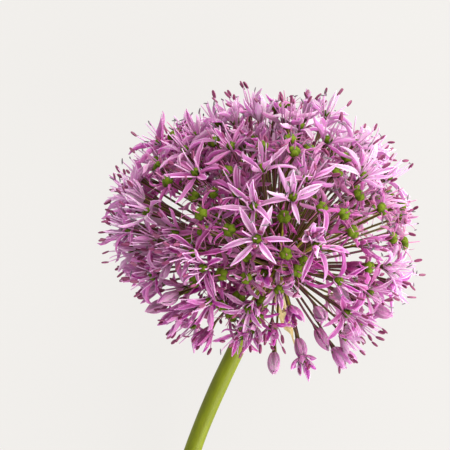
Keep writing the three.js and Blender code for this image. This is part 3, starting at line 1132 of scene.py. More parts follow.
@dataclass(frozen=True)
class Habit:
    """How a floret of one age stands, with angles in degrees and lengths in millimetres.

    Attributes:
        tepal: factors on a tepal's width and length.
        lean: a tepal's lean off the floret's axis at its root.
        curl: how far that lean grows to the tip.
        wobble: how far either strays.
        twist: how far a tepal may turn about its own length.
        ovary: the pod's radius and height.
        stamen: the length of a filament, or 0 for none to be seen.
        stamen_lean: a filament's lean.
        stamen_bow: how much that grows in each third of it.
        curly: how far it strays from its arc, as a share of its length.
        shed: the share of anthers that are empty.
        age: from 0 for fresh to 1 for withered.
    """

    tepal: Pair
    lean: float
    curl: float
    wobble: float
    twist: float
    ovary: Pair
    stamen: float = 0.0
    stamen_lean: float = 0.0
    stamen_bow: float = 0.0
    curly: float = 0.0
    shed: float = 0.0
    age: float = 0.0


class Kind(Enum):
    """The ages of a floret, from a bud to a withered one."""

    BUD = Habit(tepal=(1.2, 0.86), lean=42.0, curl=-94.0, wobble=2.0, twist=3.0, ovary=(1.4, 2.8))
    HALF_OPEN = Habit(tepal=(1.2, 0.92), lean=44.0, curl=-42.0, wobble=7.0, twist=10.0, ovary=(1.7, 3.0),
                      stamen=7.8, stamen_lean=14.0, stamen_bow=-3.0, curly=0.03, shed=0.15)
    OPEN = Habit(tepal=(0.88, 1.06), lean=52.0, curl=40.0, wobble=17.0, twist=34.0, ovary=(1.8, 3.2),
                 stamen=9.5, stamen_lean=20.0, curly=0.04, shed=0.56)
    SPENT = Habit(tepal=(0.34, 0.74), lean=74.0, curl=96.0, wobble=30.0, twist=170.0, ovary=(2.45, 3.4),
                  stamen=7.4, stamen_lean=30.0, stamen_bow=42.0, curly=0.2, shed=0.8, age=0.85)


@dataclass(frozen=True)
class Seen:
    """A floret that stands out in the photograph.

    Attributes:
        x: where its ovary is, in the photograph's pixels from the left.
        y: the same from the top.
        kind: its age.
        share: how far out it stands, as a share of the head's radius.
        spin: the turn of one of its tepals, in degrees anticlockwise from the right, or None for any.
        turned: how far it has turned to the camera.
        size: a factor on its tepals and stamens.
    """

    x: float
    y: float
    kind: Kind
    share: float = 0.96
    spin: float | None = None
    turned: float = 0.0
    size: float = 1.04


BUD, HALF_OPEN, OPEN, SPENT = Kind
SEEN = tuple(Seen(*row) for row in (
    (257, 239, OPEN, 1.0, 0, 0.0, 1.14), (293, 197, OPEN, 0.99, 25, 0.0, 1.1),
    (317, 246, OPEN, 0.99, 0, 0.0, 1.1), (254, 206, OPEN, 0.97, 20, 0.0, 1.1),
    (263, 168, OPEN, 0.96, 40), (309, 178, OPEN, 0.96, 10), (286, 254, SPENT, 0.9),
    (297, 271, SPENT, 0.88), (303, 262, SPENT, 0.8), (229, 230, SPENT), (201, 214, SPENT),
    (203, 230, SPENT, 0.9), (245, 256, SPENT, 0.84), (284, 217, SPENT, 0.84), (322, 208, SPENT, 0.86),
    (227, 171, SPENT, 0.86), (213, 193, SPENT, 0.84), (237, 193, OPEN, 0.9), (194, 197, SPENT, 0.86),
    (246, 278, SPENT, 0.88), (222, 274, SPENT, 0.88), (249, 111, OPEN), (235, 121, OPEN),
    (219, 124, OPEN), (231, 146, OPEN), (197, 135, OPEN), (173, 136, SPENT), (185, 150, OPEN),
    (159, 142, OPEN), (156, 161, OPEN), (214, 142, SPENT, 0.92), (195, 172, OPEN, 0.98, 10),
    (168, 181, SPENT), (262, 146, SPENT), (290, 139, SPENT), (294, 152, SPENT, 0.97), (301, 126, OPEN),
    (286, 121, OPEN), (309, 149, SPENT, 0.9), (326, 114, OPEN), (328, 140, OPEN), (356, 143, OPEN),
    (346, 158, SPENT, 0.92), (364, 176, OPEN, 1.0, 15, 0.3, 1.22), (388, 177, OPEN),
    (359, 195, SPENT, 0.9), (389, 195, SPENT), (382, 209, SPENT), (401, 205, SPENT), (344, 214, SPENT),
    (147, 212, OPEN), (134, 224, OPEN), (131, 249, OPEN), (152, 276, OPEN), (193, 254, OPEN),
    (203, 268, OPEN, 0.98, 30), (195, 281, SPENT, 0.86), (208, 302, OPEN), (192, 325, OPEN),
    (174, 296, BUD), (163, 304, BUD), (180, 313, HALF_OPEN), (194, 306, HALF_OPEN, 0.9),
    (141, 271, HALF_OPEN, 0.9), (125, 232, OPEN), (353, 232, SPENT), (393, 238, SPENT),
    (404, 243, SPENT), (366, 245, HALF_OPEN, 0.9), (369, 267, SPENT), (394, 269, OPEN),
    (339, 281, OPEN), (370, 293, OPEN), (279, 290, OPEN, 0.9, -20, 0.0, 0.78),
    (249, 309, OPEN, 0.93, 20, 0.0, 0.8), (272, 328, OPEN, 0.9, 50, 0.0, 0.84),
    (240, 336, OPEN, 0.97, -55, 0.0, 0.88), (222, 305, SPENT, 0.88), (239, 297, SPENT, 0.84),
    (262, 302, SPENT, 0.82), (208, 332, HALF_OPEN), (232, 316, SPENT, 0.9), (258, 318, SPENT, 0.9),
    (252, 330, HALF_OPEN, 0.93), (347, 313, OPEN, 0.95, -5, 0.3), (344, 337, OPEN, 0.97),
    (360, 322, OPEN), (376, 309, BUD), (274, 357, BUD, 0.98), (303, 360, HALF_OPEN, 1.0, 50, 0.6, 0.88),
    (299, 343, BUD, 0.92), (319, 333, BUD, 0.9), (336, 352, HALF_OPEN, 1.0, 0, 0.1, 0.95),
    (318, 311, BUD, 0.84, 0, 0.3), (349, 268, HALF_OPEN, 0.8), (291, 310, HALF_OPEN, 0.9, 40, 0.1, 1.0),
    (260, 116, HALF_OPEN, 0.98, 10), (157, 286, HALF_OPEN, 0.93, 20, 0.1, 1.0),
    (311, 235, HALF_OPEN, 0.97, 30, 0.3, 0.7), (264, 273, HALF_OPEN, 0.95, 60, 0.3, 0.7),
))


@dataclass
class Floret:
    """A floret's place on the umbel.

    Attributes:
        base: where its pedicel ends.
        facing: the way that it faces.
        kind: its age.
        spin: the turn of its first tepal, in radians.
        number: what seeds its draws.
        size: a factor on its tepals and stamens.
        whole: whether its tepals are unworn.
    """

    base: np.ndarray
    facing: np.ndarray
    kind: Kind
    spin: float
    number: int
    size: float = 1.0
    whole: bool = False

    def axes(self) -> np.ndarray:
        """Gives the floret's own axes, a column for each, the last the way that it faces.

        Returns:
            The axes.
        """
        right = np.eye(3)[0 if abs(self.facing[0]) < 0.85 else 1]
        right = unit(right - self.facing * (right @ self.facing))
        turned = math.cos(self.spin) * right + math.sin(self.spin) * np.cross(self.facing, right)
        return np.column_stack((turned, np.cross(self.facing, turned), self.facing))


def pixel_of(place: np.ndarray) -> Pair:
    """Gives where a place is seen in the photograph's frame, from its left and its top."""
    sight = place - CAMERA_PLACE
    scale = CAMERA_DISTANCE / -sight[2] / METRES_A_PIXEL
    return FRAME_PIXELS / 2 + sight[0] * scale, FRAME_PIXELS / 2 - sight[1] * scale


def spun(points: np.ndarray, turn: float) -> np.ndarray:
    """Gives the points turned about +Z."""
    sine, cosine = math.sin(turn), math.cos(turn)
    return points @ np.array(((cosine, sine, 0.0), (-sine, cosine, 0.0), (0.0, 0.0, 1.0)))


def facing_from(base: np.ndarray, place: np.ndarray) -> np.ndarray:
    """Gives the way that a floret faces, between its pedicel's direction and straight out of the head."""
    return unit(0.65 * unit(base - RECEPTACLE) + 0.35 * unit(place - HEAD_CENTRE))


@dataclass
class Placing:
    """Works out where the florets stand.

    Attributes:
        count: how many places the spiral has.
        last_angle: how far off the umbel's axis its last place is.
        shortest: the shortest pedicel, as a share of the longest.
        longer: a power, which makes long pedicels oftener than short ones.
        angle_stray: the range in which a place strays off the spiral in its angle.
        turn_stray: the same in its turn.
        room: the least distance from one of the spiral's florets to a seen one.
        bare_angle: how far round the scape nothing grows.
        bud_angle: how far round the scape only buds grow.
        upright: how far up a direction points from which on it faces the camera.
        sunk: what is left of a pedicel's share there, behind the seen florets.
        clearings: the middle and radius, in the photograph's pixels, of gaps in which only seen florets
            stand, so that the surface shows behind.
        tilt: how far a floret's facing strays.
        pod_middle: how far above its base the middle of a floret's pod is.
        whole_size: the size from which on a seen floret's tepals are unworn.
        lateness: the angles off the umbel's axis between which florets get younger.
        ages: the share of florets up to each age at the umbel's top, and how much it grows towards the
            scape.
    """

    count: int = 350
    last_angle: float = math.radians(138)
    shortest: float = 0.7
    longer: float = 2.2
    angle_stray: float = 0.09
    turn_stray: float = 0.16
    room: float = 8.2 * MM
    bare_angle: float = math.radians(26)
    bud_angle: float = math.radians(36)
    upright: float = 0.45
    sunk: float = 0.86
    clearings: tuple[Triple, ...] = (
        (300.0, 325.0, 38.0), (303.0, 360.0, 44.0), (184.0, 206.0, 20.0), (226.0, 316.0, 9.0),
        (352.0, 254.0, 25.0), (362.0, 227.0, 16.0), (378.0, 256.0, 12.0), (366.0, 304.0, 12.0),
        (150.0, 125.0, 26.0), (204.0, 100.0, 36.0), (408.0, 180.0, 36.0), (416.0, 222.0, 14.0),
        (256.0, 354.0, 24.0), (286.0, 232.0, 15.0), (222.0, 246.0, 12.0), (318.0, 280.0, 17.0),
        (252.0, 100.0, 24.0),
    )
    tilt: float = 0.14
    pod_middle: float = 1.6 * MM
    whole_size: float = 1.05
    lateness: Pair = (1.2, 2.1)
    ages: tuple[tuple[Kind, float, float], ...] = (
        (BUD, 0.03, 0.16), (HALF_OPEN, 0.06, 0.26), (OPEN, 0.76, 0.14),
    )

    def seen(self) -> list[Floret]:
        """Places the florets that the photograph shows, each on its line of sight.

        Returns:
            The florets.
        """
        florets = []
        unstretched = np.linalg.inv(STRETCH)
        start = unstretched @ (CAMERA_PLACE - HEAD_CENTRE)
        for number, row in enumerate(SEEN):
            sight = np.array((
                (row.x - FRAME_PIXELS / 2) * METRES_A_PIXEL,
                (FRAME_PIXELS / 2 - row.y) * METRES_A_PIXEL,
                -CAMERA_DISTANCE,
            ))
            step = unstretched @ sight
            radius = row.share * HEAD_RADIUS
            nearest = (start @ step) / (step @ step)
            inside = nearest ** 2 - (start @ start - radius ** 2) / (step @ step)
            middle = CAMERA_PLACE - sight * (nearest + math.sqrt(max(inside, 0.0)))
            draw = np.random.default_rng((SEED, 3, number))
            spin = draw.uniform(0.0, math.tau) if row.spin is None else math.radians(row.spin)
            facing = facing_from(middle, middle)
            facing = unit(facing * (1 - row.turned) + np.array((0.0, 0.0, row.turned)))
            base = middle - facing * self.pod_middle
            size = 1.0 if row.kind is BUD else row.size
            whole = row.size > self.whole_size
            florets.append(Floret(base, facing, row.kind, spin, number, size, whole))
        return florets

    def spiral(self, others: Sequence[Floret]) -> list[Floret]:
        """Places the rest along a golden-angle spiral from the umbel's top.

        Args:
            others: the florets that stand already.

        Returns:
            The florets that have room beside those and the scape.
        """
        florets = []
        golden = math.pi * (3 - math.sqrt(5))
        for index in range(self.count):
            draw = np.random.default_rng((SEED, index))
            rise = 1 - (index + 0.5) / self.count * (1 - math.cos(self.last_angle))
            angle = math.acos(rise) + draw.uniform(-0.5, 0.5) * self.angle_stray
            turn = index * golden + draw.uniform(-0.5, 0.5) * self.turn_stray
            share = 1 - (1 - self.shortest) * draw.random() ** self.longer
            place = HEAD_CENTRE + HEAD_RADIUS * STRETCH @ head_direction(angle, turn)
            if head_direction(angle, turn)[2] > self.upright:
                share *= self.sunk
            base = RECEPTACLE + share * (place - RECEPTACLE)
            off_scape = math.acos(np.clip(unit(place - RECEPTACLE) @ -AXIS, -1.0, 1.0))
            across, down = pixel_of(base)
            cleared = any(math.hypot(across - x, down - y) < radius for x, y, radius in self.clearings)
            near = any(np.linalg.norm(base - other.base) < self.room for other in others)
            kind = BUD if off_scape < self.bud_angle else self.age(draw.random(), angle)
            spin = draw.uniform(0.0, math.tau)
            if off_scape > self.bare_angle and not cleared and not near:
                facing = unit(facing_from(base, place) + draw.normal(size=3) * self.tilt)
                florets.append(Floret(base, facing, kind, spin, len(SEEN) + index))
        return florets

    def age(self, draw: float, angle: float) -> Kind:
        """Gives a floret's age: the later ones, towards the scape, are oftener closed.

        Args:
            draw: a number from 0 to 1.
            angle: how far off the umbel's axis it stands.

        Returns:
            The age.
        """
        early, last = self.lateness
        late = np.clip((angle - early) / (last - early), 0.0, 1.0)
        late = late * late * (3 - 2 * late)
        for kind, share, growth in self.ages:
            if draw < share + growth * late:
                return kind
        return SPENT


@dataclass(frozen=True)
class Stray:
    """How far florets stray from their kind's habit."""

    # Ranges of factors on the width and length of all of a floret's tepals
    slim: Pair = (0.8, 1.1)
    full: Pair = (0.86, 1.1)

    # The same on one tepal, and on the sizes of a pod, a filament and an anther
    width: Pair = (0.88, 1.1)
    length: Pair = (0.86, 1.08)
    channel: Pair = (0.7, 1.7)
    pod: Pair = (0.94, 1.06)
    thread: Pair = (0.85, 1.1)
    anther: Pair = (0.85, 1.1)

    # Factors on the habit's wobble, and how far inwards the hooks at the tips are on the whole
    lean: float = 0.7
    curl: float = 1.3
    hook: float = 2.6
    hook_in: float = 1.6
    sway: float = 0.009

    # How far a tepal and a filament are off their even places round the floret's axis, in radians
    turn: float = 0.06
    thread_turn: float = 0.08

    # How far a filament's lean and bow are off the habit's, in degrees, and the most that its control
    # points are off their arc, in standard deviations
    thread_lean: float = 8.0
    thread_bow: Pair = (-14.0, 10.0)
    thread_most: float = 1.3

    # How far a style's tip is off the floret's axis, in millimetres, and how far a pedicel is bowed, as
    # a share of its length
    style: float = 0.3
    pedicel: float = 0.02

    # The most that a whole floret is worn and how wide its tepals are, and what wear takes off another's
    # width and adds to any tepal's channel, wobble and age
    worn_most: float = 0.4
    whole_width: float = 1.06
    worn_width: float = 0.14
    worn_channel: float = 0.7
    worn_wobble: float = 0.8
    worn_age: float = 0.35


@dataclass
class Umbel:
    """The knob at the scape's top, and the pedicels and florets that grow from it.

    Attributes:
        tepals: how many tepals and stamens a floret has.
        near: how far up a floret faces whose tepals are in the front piece.
        dip: how far a floret may be pressed into the surface before its pedicel gives way.
        root_depth: how far inside the knob a pedicel starts.
        tepal_ring: how far from the floret's axis an outer tepal starts.
        inner_ring: how much nearer an inner one starts, as a share of that.
        inner_lean: how much less it leans, in degrees.
        stamen_ring: how far from the axis a filament starts.
        style: how long the style is.
        anther_middle: how far from a filament's tip the middle of a full anther is.
        anthers_kept: the share of anthers that hasn't dropped off.
        shed_low: how much of the habit's share of empty anthers a floret has that faces across the axis.
        shed_least: the least of it, towards the scape.
        knob_flat: how far down the knob is cut flat, in half heights.
        stray: how far the florets stray.
        waves: how the edges of each kind of tepal rise and fall.
        clusters: what is gathered for each piece.
    """

    tepals: int = 6
    near: float = 0.05
    dip: float = 0.5 * MM
    root_depth: float = 2.6 * MM
    tepal_ring: float = 1.15 * MM
    inner_ring: float = 0.12
    inner_lean: float = 4.0
    stamen_ring: float = 1.25 * MM
    style: float = 4.6 * MM
    anther_middle: float = 0.9 * MM
    anthers_kept: float = 0.7
    shed_low: float = 0.45
    shed_least: float = 0.15
    knob_flat: float = -0.86
    stray: Stray = Stray()
    waves: tuple[tuple[float, ...], ...] = (
        (0.0, 0.1, -0.25, 0.2, -0.1, 0.0), (0.1, -0.3, 0.1, 0.35, -0.2, 0.1),
        (-0.1, 0.25, 0.3, -0.35, 0.1, 0.0),
    )
    clusters: dict[str, Cluster] = field(default_factory=dict)

    def model(self) -> None:
        """Models a tepal, filament, pedicel, anther, pod and style, once each."""
        self.blades = {
            blade: [TepalShape(wave=wave).form(*blade.value) for wave in self.waves] for blade in Blade
        }
        self.thread = rod_form(5, 7)
        self.stalk = rod_form(6, 8)
        self.anther = AntherShape().form()
        self.husk = HuskShape().form()
        self.pod = OvaryShape().form()

    def build(self) -> list[bpy.types.Object]:
        """Builds the pieces of the head.

        Returns:
            The pieces.
        """
        self.model()
        placing = Placing()
        florets = placing.seen()
        florets += placing.spiral(florets)
        finishes = {
            "pedicels": (PedicelFinish(), "pedicel_brown"),
            "tepals_front": (TepalFinish(), "tepal_lilac"),
            "tepals_round": (TepalFinish("tepal lilac round"), "tepal_lilac"),
            "buds": (BUD_FINISH, "tepal_lilac"),
            "filaments": (FilamentFinish(), "filament_pale"),
            "anthers": (AntherFinish(), "anther_magenta"),
            "ovaries": (OvaryFinish(), "ovary_green"),
            "styles": (FilamentFinish("style pale"), "filament_pale"),
        }
        self.clusters = {name: Cluster() for name in finishes}
        for floret in florets:
            self.grow(floret)
        pieces = [
            self.clusters[name].piece(f"umbel_{name}", finish.material(), slot, "umbel")
            for name, (finish, slot) in finishes.items()
        ]
        LOG.info("%d florets stand on the umbel", len(florets))
        return [self.knob(), *pieces]

    def knob(self) -> bpy.types.Object:
        """Models the swollen top of the scape, which the pedicels grow from.

        Returns:
            The piece.
        """
        deselect()
        bpy.ops.mesh.primitive_uv_sphere_add(segments=32, ring_count=20, radius=1.0)
        with edit_mode():
            pick(lambda corner: corner.z < self.knob_flat)
            widen(1.0, 1.0, 0.0, (0.0, 0.0, self.knob_flat))
        form = Form.take(np.copy)
        scaled = form.points * (KNOB_RADIUS, KNOB_RADIUS, KNOB_HALF_HEIGHT)
        knob = Cluster()
        axes = np.column_stack((AXIS_RIGHT, AXIS_FRONT, AXIS))
        knob.add(form, RECEPTACLE + scaled @ axes.T, (0.3, 0.5, 0.0))
        return knob.piece("receptacle_knob", KnobFinish().material(), "pedicel_brown", "umbel")

    def grow(self, floret: Floret) -> None:
        """Grows a floret and its pedicel, and lifts it where it would pass the surface.

        Args:
            floret: the floret.
        """
        draw = np.random.default_rng((SEED, 7, floret.number))
        parts = list(self.parts(floret, draw))
        lowest = min(float(points[:, 2].min()) for _, _, points, _ in parts)
        back = unit(RECEPTACLE - floret.base)
        shift = np.zeros(3)
        if lowest < -self.dip and back[2] > 0:
            shift = back * (-self.dip - lowest) / back[2]
        for name, form, points, tint in parts:
            self.clusters[name].add(form, points + shift, tint)
        self.grow_pedicel(floret, floret.base + shift, draw)

    def parts(self, floret: Floret, draw: Draw) -> Iterator[Copy]:
        """Gives copies of a floret's parts, in its place.

        Args:
            floret: the floret.
            draw: what the draws come from.

        Returns:
            The copies, one by one.
        """
        habit = floret.kind.value
        axes = floret.axes()
        own = draw.random()
        yield from self.petals(floret, axes, own, draw)
        if habit.stamen:
            yield from self.stamens(floret, axes, own, draw)
        radius, height = (size * MM * draw.uniform(*self.stray.pod) for size in habit.ovary)
        pod = spun(self.pod.points, draw.uniform(0.0, math.tau)) * (radius, radius, height)
        yield "ovaries", self.pod, floret.base + pod @ axes.T, (own, draw.random(), habit.age)
        if habit.stamen:
            off = self.stray.style
            tip = np.array((draw.normal() * off * MM, draw.normal() * off * MM, self.style))
            foot = np.array((0.0, 0.0, height * 0.8))
            rises = np.array((0.0, 0.33, 0.66, 1.0))[:, None]
            route = floret.base + (foot + tip * rises) @ axes.T
            style = self.thread.swept(route, axes[:, 0], (0.0, 0.9, 1.0), (0.24, 0.17, 0.1))
            yield "styles", self.thread, style, (own, own, habit.age)

    def petals(self, floret: Floret, axes: np.ndarray, own: float, draw: Draw) -> Iterator[Copy]:
        """Gives copies of a tepal, three outer and three inner ones by turns.

        Args:
            floret: the floret.
            axes: its axes.
            own: its number for the finish.
            draw: what the draws come from.

        Returns:
            The copies, one by one.
        """
        habit = floret.kind.value
        stray = self.stray
        spread = draw.normal() * habit.wobble * stray.lean
        slim = draw.uniform(*stray.slim)
        full = draw.uniform(*stray.full)
        wear = draw.random() * (stray.worn_most if floret.whole else 1.0)
        rough = habit.wobble * (1.0 + stray.worn_wobble * wear)
        age = max(habit.age, stray.worn_age * wear ** 2)
        wide = stray.whole_width if floret.whole else 1.0 - stray.worn_width * wear
        side = "front" if floret.facing[2] > self.near else "round"
        name = "buds" if floret.kind is BUD else f"tepals_{side}"
        blades = self.blades[Blade.FINE if floret.number < len(SEEN) else Blade.PLAIN]
        for index in range(self.tepals):
            inner = index % 2
            off_lean = spread + draw.normal() * rough * stray.lean - inner * self.inner_lean
            lean = math.radians(habit.lean + off_lean)
            curl = math.radians(habit.curl + draw.normal() * rough * stray.curl)
            hook = math.radians((draw.normal() * stray.hook - stray.hook_in) * rough)
            twist = math.radians(draw.uniform(-1.0, 1.0) * habit.twist * (1.0 + wear))
            sway = draw.normal() * rough * stray.sway
            size = (
                habit.tepal[0] * slim * draw.uniform(*stray.width) * wide,
                habit.tepal[1] * full * floret.size * draw.uniform(*stray.length),
                draw.uniform(*stray.channel) + stray.worn_channel * wear,
            )
            form = blades[draw.integers(len(blades))]
            points = form.arched(lean, curl, hook, twist, sway, size)
            points += (0.0, self.tepal_ring * (1 - self.inner_ring * inner), 0.0)
            turn = index * math.tau / self.tepals + draw.normal() * stray.turn - math.pi / 2
            points = floret.base + spun(points, turn) @ axes.T
            yield name, form, points, (own, draw.random(), age)

    def stamens(self, floret: Floret, axes: np.ndarray, own: float, draw: Draw) -> Iterator[Copy]:
        """Gives copies of a filament, and of an anther on most of them.

        Args:
            floret: the floret.
            axes: its axes.
            own: its number for the finish.
            draw: what the draws come from.

        Returns:
            The copies, one by one.
        """
        habit = floret.kind.value
        stray = self.stray
        shed = habit.shed * float(np.clip(self.shed_low + floret.facing @ AXIS, self.shed_least, 1.0))
        slim = 1.0 - 0.65 * habit.age
        places = (0.0, 0.2, 0.5, 0.8, 1.0)
        wide = [size * slim for size in (0.44, 0.33, 0.26, 0.22, 0.18)]
        thick = (0.16, 0.16, 0.2, 0.2 * slim, 0.17 * slim)
        for index in range(self.tepals):
            turn = (index + 0.5) * math.tau / self.tepals + draw.normal() * stray.thread_turn
            length = habit.stamen * floret.size * MM * draw.uniform(*stray.thread)
            lean = math.radians(habit.stamen_lean + draw.normal() * stray.thread_lean)
            bow = math.radians(habit.stamen_bow + draw.uniform(*stray.thread_bow))
            most = stray.thread_most
            off = np.clip(draw.normal(size=(4, 3)), -most, most) * length * habit.curly
            route = np.zeros((4, 3))
            route[0, 1] = self.stamen_ring
            for step in range(3):
                angle = lean + bow * step
                way = np.array((0.0, math.sin(angle), math.cos(angle)))
                route[step + 1] = route[step] + length / 3 * way
            route[1:] += off[1:] * np.array((0.4, 0.8, 1.0))[:, None]
            route = floret.base + spun(route, turn - math.pi / 2) @ axes.T
            across = axes @ np.array((math.cos(turn + math.pi / 2), math.sin(turn + math.pi / 2), 0.0))
            tint = (own, draw.random(), habit.age)
            yield "filaments", self.thread, self.thread.swept(route, across, places, wide, thick), tint
            if draw.random() < self.anthers_kept:
                yield self.anther_at(route, shed, own, draw)

    def anther_at(self, route: np.ndarray, shed: float, own: float, draw: Draw) -> Copy:
        """Gives the anther on a filament's tip, which is a husk once it is empty.

        Args:
            route: the filament's control points.
            shed: how likely it is to be empty.
            own: the floret's number for the finish.
            draw: what the draws come from.

        Returns:
            The copy.
        """
        empty = draw.random() < shed
        tip = unit(route[3] - route[2])
        along = unit(tip * (0.15 if empty else 2.0) + unit(draw.normal(size=3)))
        first = unit(np.cross(tip, along))
        form = self.husk if empty else self.anther
        points = form.points * draw.uniform(*self.stray.anther)
        axes = np.column_stack((first, np.cross(along, first), along))
        middle = route[3] + along * (0.0 if empty else self.anther_middle)
        return "anthers", form, middle + points @ axes.T, (own, draw.random(), float(empty))

    def grow_pedicel(self, floret: Floret, base: np.ndarray, draw: Draw) -> None:
        """Grows the stalk from inside the knob to a floret's base.

        Args:
            floret: the floret.
            base: where the stalk ends.
            draw: what the draws come from.
        """
        outward = unit(base - RECEPTACLE)
        side, front = across_of(outward)
        reach = np.linalg.norm(base - RECEPTACLE)
        bow = (side * draw.normal() + front * draw.normal()) * reach * self.stray.pedicel
        start = RECEPTACLE + outward * self.root_depth
        route = np.array((
            start, start + outward * reach * 0.33 + bow, base - floret.facing * reach * 0.25 + bow,
            base + floret.facing * 0.5 * MM,
        ))
        places = (0.0, 0.1, 0.55, 0.9, 0.965, 1.0)
        radii = (0.66, 0.52, 0.46, 0.48, 0.62, 1.15)
        points = self.stalk.swept(route, side, places, radii)
        self.clusters["pedicels"].add(self.stalk, points, (draw.random(), draw.random(), 0.0))


# Scape and bracts


@dataclass
class Scape:
    """The stalk of the flower head, cut short, with the pale face of its cut.

    Attributes:
        sides: how many sides its rod has.
        lengths: how many lengths.
        stations: at how many places its radius is set.
        start: where it starts, as a share of half the knob's height.
        rings: insets of the cut face, as shares of the radius.
        radius: of the stalk, in millimetres.
        top_radius: where it enters the knob.
        swell: how far the radius wavers along it.
        waves: how often, in radians over its length.
    """

    sides: int = 40
    lengths: int = 60
    stations: int = 13
    start: float = 0.8
    rings: tuple[float, ...] = (0.12, 0.3, 0.25)
    radius: float = 3.2
    top_radius: float = 3.5
    swell: float = 0.06
    waves: float = 19.0

    def build(self) -> list[bpy.types.Object]:
        """Builds the scape.

        Returns:
            Its piece.
        """
        rod(self.sides, self.lengths)
        with edit_mode():
            pick(lambda corner: corner.z > 1 - 0.5 / self.lengths)
            for ring in self.rings:
                bpy.ops.mesh.inset(thickness=ring, depth=0.0)
        form = Form.take(self.flow)
        route = ROUTE.copy()
        start = KNOB_HALF_HEIGHT * self.start
        route[0] -= AXIS * start
        route[1] -= AXIS * start / 3
        places = np.linspace(0.0, 1.0, self.stations)
        radii = self.radius + self.swell * np.sin(places * self.waves)
        radii[0] = self.top_radius
        radii[-1] = self.radius
        stalk = Cluster()
        stalk.add(form, form.swept(route, AXIS_RIGHT, places, list(radii)), ORIGIN)
        return [stalk.piece("scape_stalk", ScapeFinish().material(), "scape_green", "scape", crease=40.0)]

    def flow(self, points: np.ndarray) -> np.ndarray:
        """Gives each point's two places round the rod and its place along it, past 1 on the cut face.

        Args:
            points: a row for each vertex.

        Returns:
            The flow, a row for each.
        """
        side, front, along = points.T
        inward = np.maximum(1 - np.hypot(side, front), 0.0)
        on_cut = along > 1 - 0.5 / self.lengths
        return np.column_stack((side, front, along + np.where(on_cut, inward, 0.0)))


@dataclass(frozen=True)
class BractShape(Sheet):
    """A bract: broad near its root and narrow at its tip."""

    length: float = 25 * MM
    thickness: float = 0.16 * MM

    def width(self, along: np.ndarray | float) -> np.ndarray | float:
        """Gives its width at shares of its length."""
        swell = np.sin(np.pi * np.minimum(1.0, 0.1 + 1.1 * along))
        return (4.2 * (1 - along) + 6.6 * swell + 1.2 * along) * MM


@dataclass
class Spathe:
    """The three papery bracts that hang from the foot of the umbel.

    Attributes:
        azimuths: where each grows, in degrees round the umbel's axis.
        shape: of a bract.
        rows: of faces along it.
        columns: of faces across it.
        leans: its lean off the scape at its root and tip, in degrees.
        seat: how far its root stands off the scape and the knob.
        steps: how many lengths its bend is worked out in.
    """

    azimuths: tuple[float, ...] = (22.0, 158.0, -90.0)
    shape: BractShape = BractShape()
    rows: int = 18
    columns: int = 10
    leans: Pair = (30.0, 58.0)
    seat: float = TOUCHING_GAP + 0.45 * MM
    steps: int = 40

    def build(self) -> list[bpy.types.Object]:
        """Builds the bracts.

        Returns:
            Their pieces.
        """
        material = SpatheFinish().material()
        pieces = []
        for number, azimuth in enumerate(self.azimuths, 1):
            form = self.shape.form(self.columns, self.rows)
            bract = Cluster()
            bract.add(form, self.hung(form, azimuth, number), (0.5, 0.5, 0.0))
            name = f"spathe_bract_{number}"
            pieces.append(bract.piece(f"{name}_sheet", material, "spathe_paper", name))
        return pieces

    def hung(self, form: Form, azimuth: float, number: int) -> np.ndarray:
        """Hangs a flat bract from the knob.

        Args:
            form: the flat bract.
            azimuth: where it grows, in degrees.
            number: which of them it is.

        Returns:
            Where its points are.
        """
        outward = head_direction(math.pi / 2, math.radians(azimuth))
        sideways = np.cross(outward, -AXIS)
        share = form.flow[:, 1]
        off = form.points[:, 0]
        lean = np.radians(np.interp(share, (0.0, 1.0), self.leans))
        places = np.linspace(0.0, 1.0, self.steps + 1)
        leans = np.radians(np.interp(places, (0.0, 1.0), self.leans))
        step = self.shape.length / self.steps
        out = np.concatenate(([0.0], np.cumsum(np.sin(leans[:-1]) * step)))
        down = np.concatenate(([0.0], np.cumsum(np.cos(leans[:-1]) * step)))
        radial = SCAPE_RADIUS + self.seat + np.interp(share, places, out)
        depth = KNOB_HALF_HEIGHT + self.seat + np.interp(share, places, down)
        turned = off / MM
        crinkle = 0.12 * np.sin(turned * 3.1 + number + 9 * share) * np.sin(14 * share + turned) * share
        wave = 0.7 * share * np.sin(1.5 * turned + 5 * share)
        cup = 0.055 * turned ** 2 * (1 - 0.6 * share)
        lift = (wave - cup + crinkle) * MM + form.points[:, 2]
        normal = np.cos(lean)[:, None] * outward + np.sin(lean)[:, None] * AXIS
        return (RECEPTACLE + radial[:, None] * outward - depth[:, None] * AXIS
                + off[:, None] * sideways + lift[:, None] * normal)


# The studio


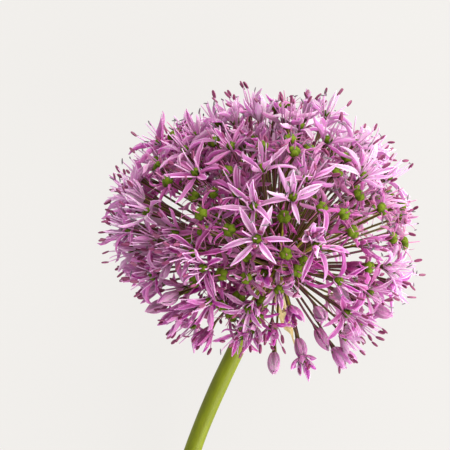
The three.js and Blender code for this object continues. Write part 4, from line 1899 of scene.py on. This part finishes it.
@dataclass
class Studio:
    """The pale surface, the soft lights and the camera, which looks straight down.

    Attributes:
        floor_size: the surface's side, in metres.
        floor_rim: how wide its rolled-down rim is.
        lights: each light's name, its place from the head, its side in metres and its watts. The key
            light is at the upper right of the photograph, and the fill light at the lower right.
        light_colour: of both.
        sky: the strength of the light from all round.
        sky_colour: its colour.
        sensor: the camera's, in millimetres.
    """

    floor_size: float = 6.0
    floor_rim: float = 0.1
    lights: tuple[tuple[str, Triple, float, float], ...] = (
        ("key", (0.85, 1.5, 0.42), 2.2, 122.0),
        ("fill", (1.15, -1.0, 0.42), 2.0, 81.0),
    )
    light_colour: Triple = (1.0, 0.98, 0.95)
    sky: float = 0.86
    sky_colour: Triple = (0.95, 0.94, 0.92)
    sensor: float = 36.0

    def build(self) -> None:
        """Builds the studio round the flower head."""
        self.lay_floor()
        for light in self.lights:
            self.hang_light(*light)
        self.set_sky()
        self.set_camera()

    def lay_floor(self) -> None:
        """Lays the surface, its rim rolled down a little."""
        deselect()
        bpy.ops.mesh.primitive_plane_add(size=self.floor_size)
        floor = bpy.context.object
        floor.name = "surface"
        with edit_mode():
            bpy.ops.mesh.inset(thickness=self.floor_rim, depth=0.0)
            edge = (self.floor_size - self.floor_rim) / 2
            pick(lambda corner: max(abs(corner.x), abs(corner.y)) > edge)
            push(z=-self.floor_rim / 5)
        floor.data.materials.append(StageFinish().material())

    def hang_light(self, name: str, place: Triple, size: float, power: float) -> None:
        """Hangs a soft square light that looks at the head.

        Args:
            name: its name.
            place: its place from the head.
            size: its side.
            power: its strength in watts.
        """
        lamp = bpy.data.lights.new(name, "AREA")
        lamp.size = size
        lamp.energy = power
        lamp.color = self.light_colour
        light = bpy.data.objects.new(name, lamp)
        light.location = Vector(place) + Vector(HEAD_CENTRE)
        light.rotation_euler = (-Vector(place)).to_track_quat("-Z", "Y").to_euler()
        bpy.context.collection.objects.link(light)

    def set_sky(self) -> None:
        """Sets an even pale light all round, and plain colours without a film look."""
        world = bpy.data.worlds.new("sky")
        world.use_nodes = True
        back = world.node_tree.nodes["Background"]
        back.inputs["Color"].default_value = (*self.sky_colour, 1.0)
        back.inputs["Strength"].default_value = self.sky
        bpy.context.scene.world = world
        bpy.context.scene.view_settings.view_transform = "Standard"

    def set_camera(self) -> None:
        """Sets the camera straight above, framed as the photograph is."""
        lens = bpy.data.cameras.new("camera")
        lens.sensor_width = self.sensor
        lens.lens = self.sensor * CAMERA_DISTANCE / (FRAME_PIXELS * METRES_A_PIXEL)
        camera = bpy.data.objects.new("camera", lens)
        camera.location = CAMERA_PLACE
        bpy.context.collection.objects.link(camera)
        bpy.context.scene.camera = camera


def main() -> None:
    """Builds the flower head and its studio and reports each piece."""
    logging.basicConfig(level=logging.INFO, format="%(name)s: %(message)s")
    pieces = [*Scape().build(), *Spathe().build(), *Umbel().build()]
    Studio().build()
    for made in pieces:
        made.data.calc_loop_triangles()
        LOG.info("%s has %d triangles", made.name, len(made.data.loop_triangles))


if __name__ == "__main__":
    main()
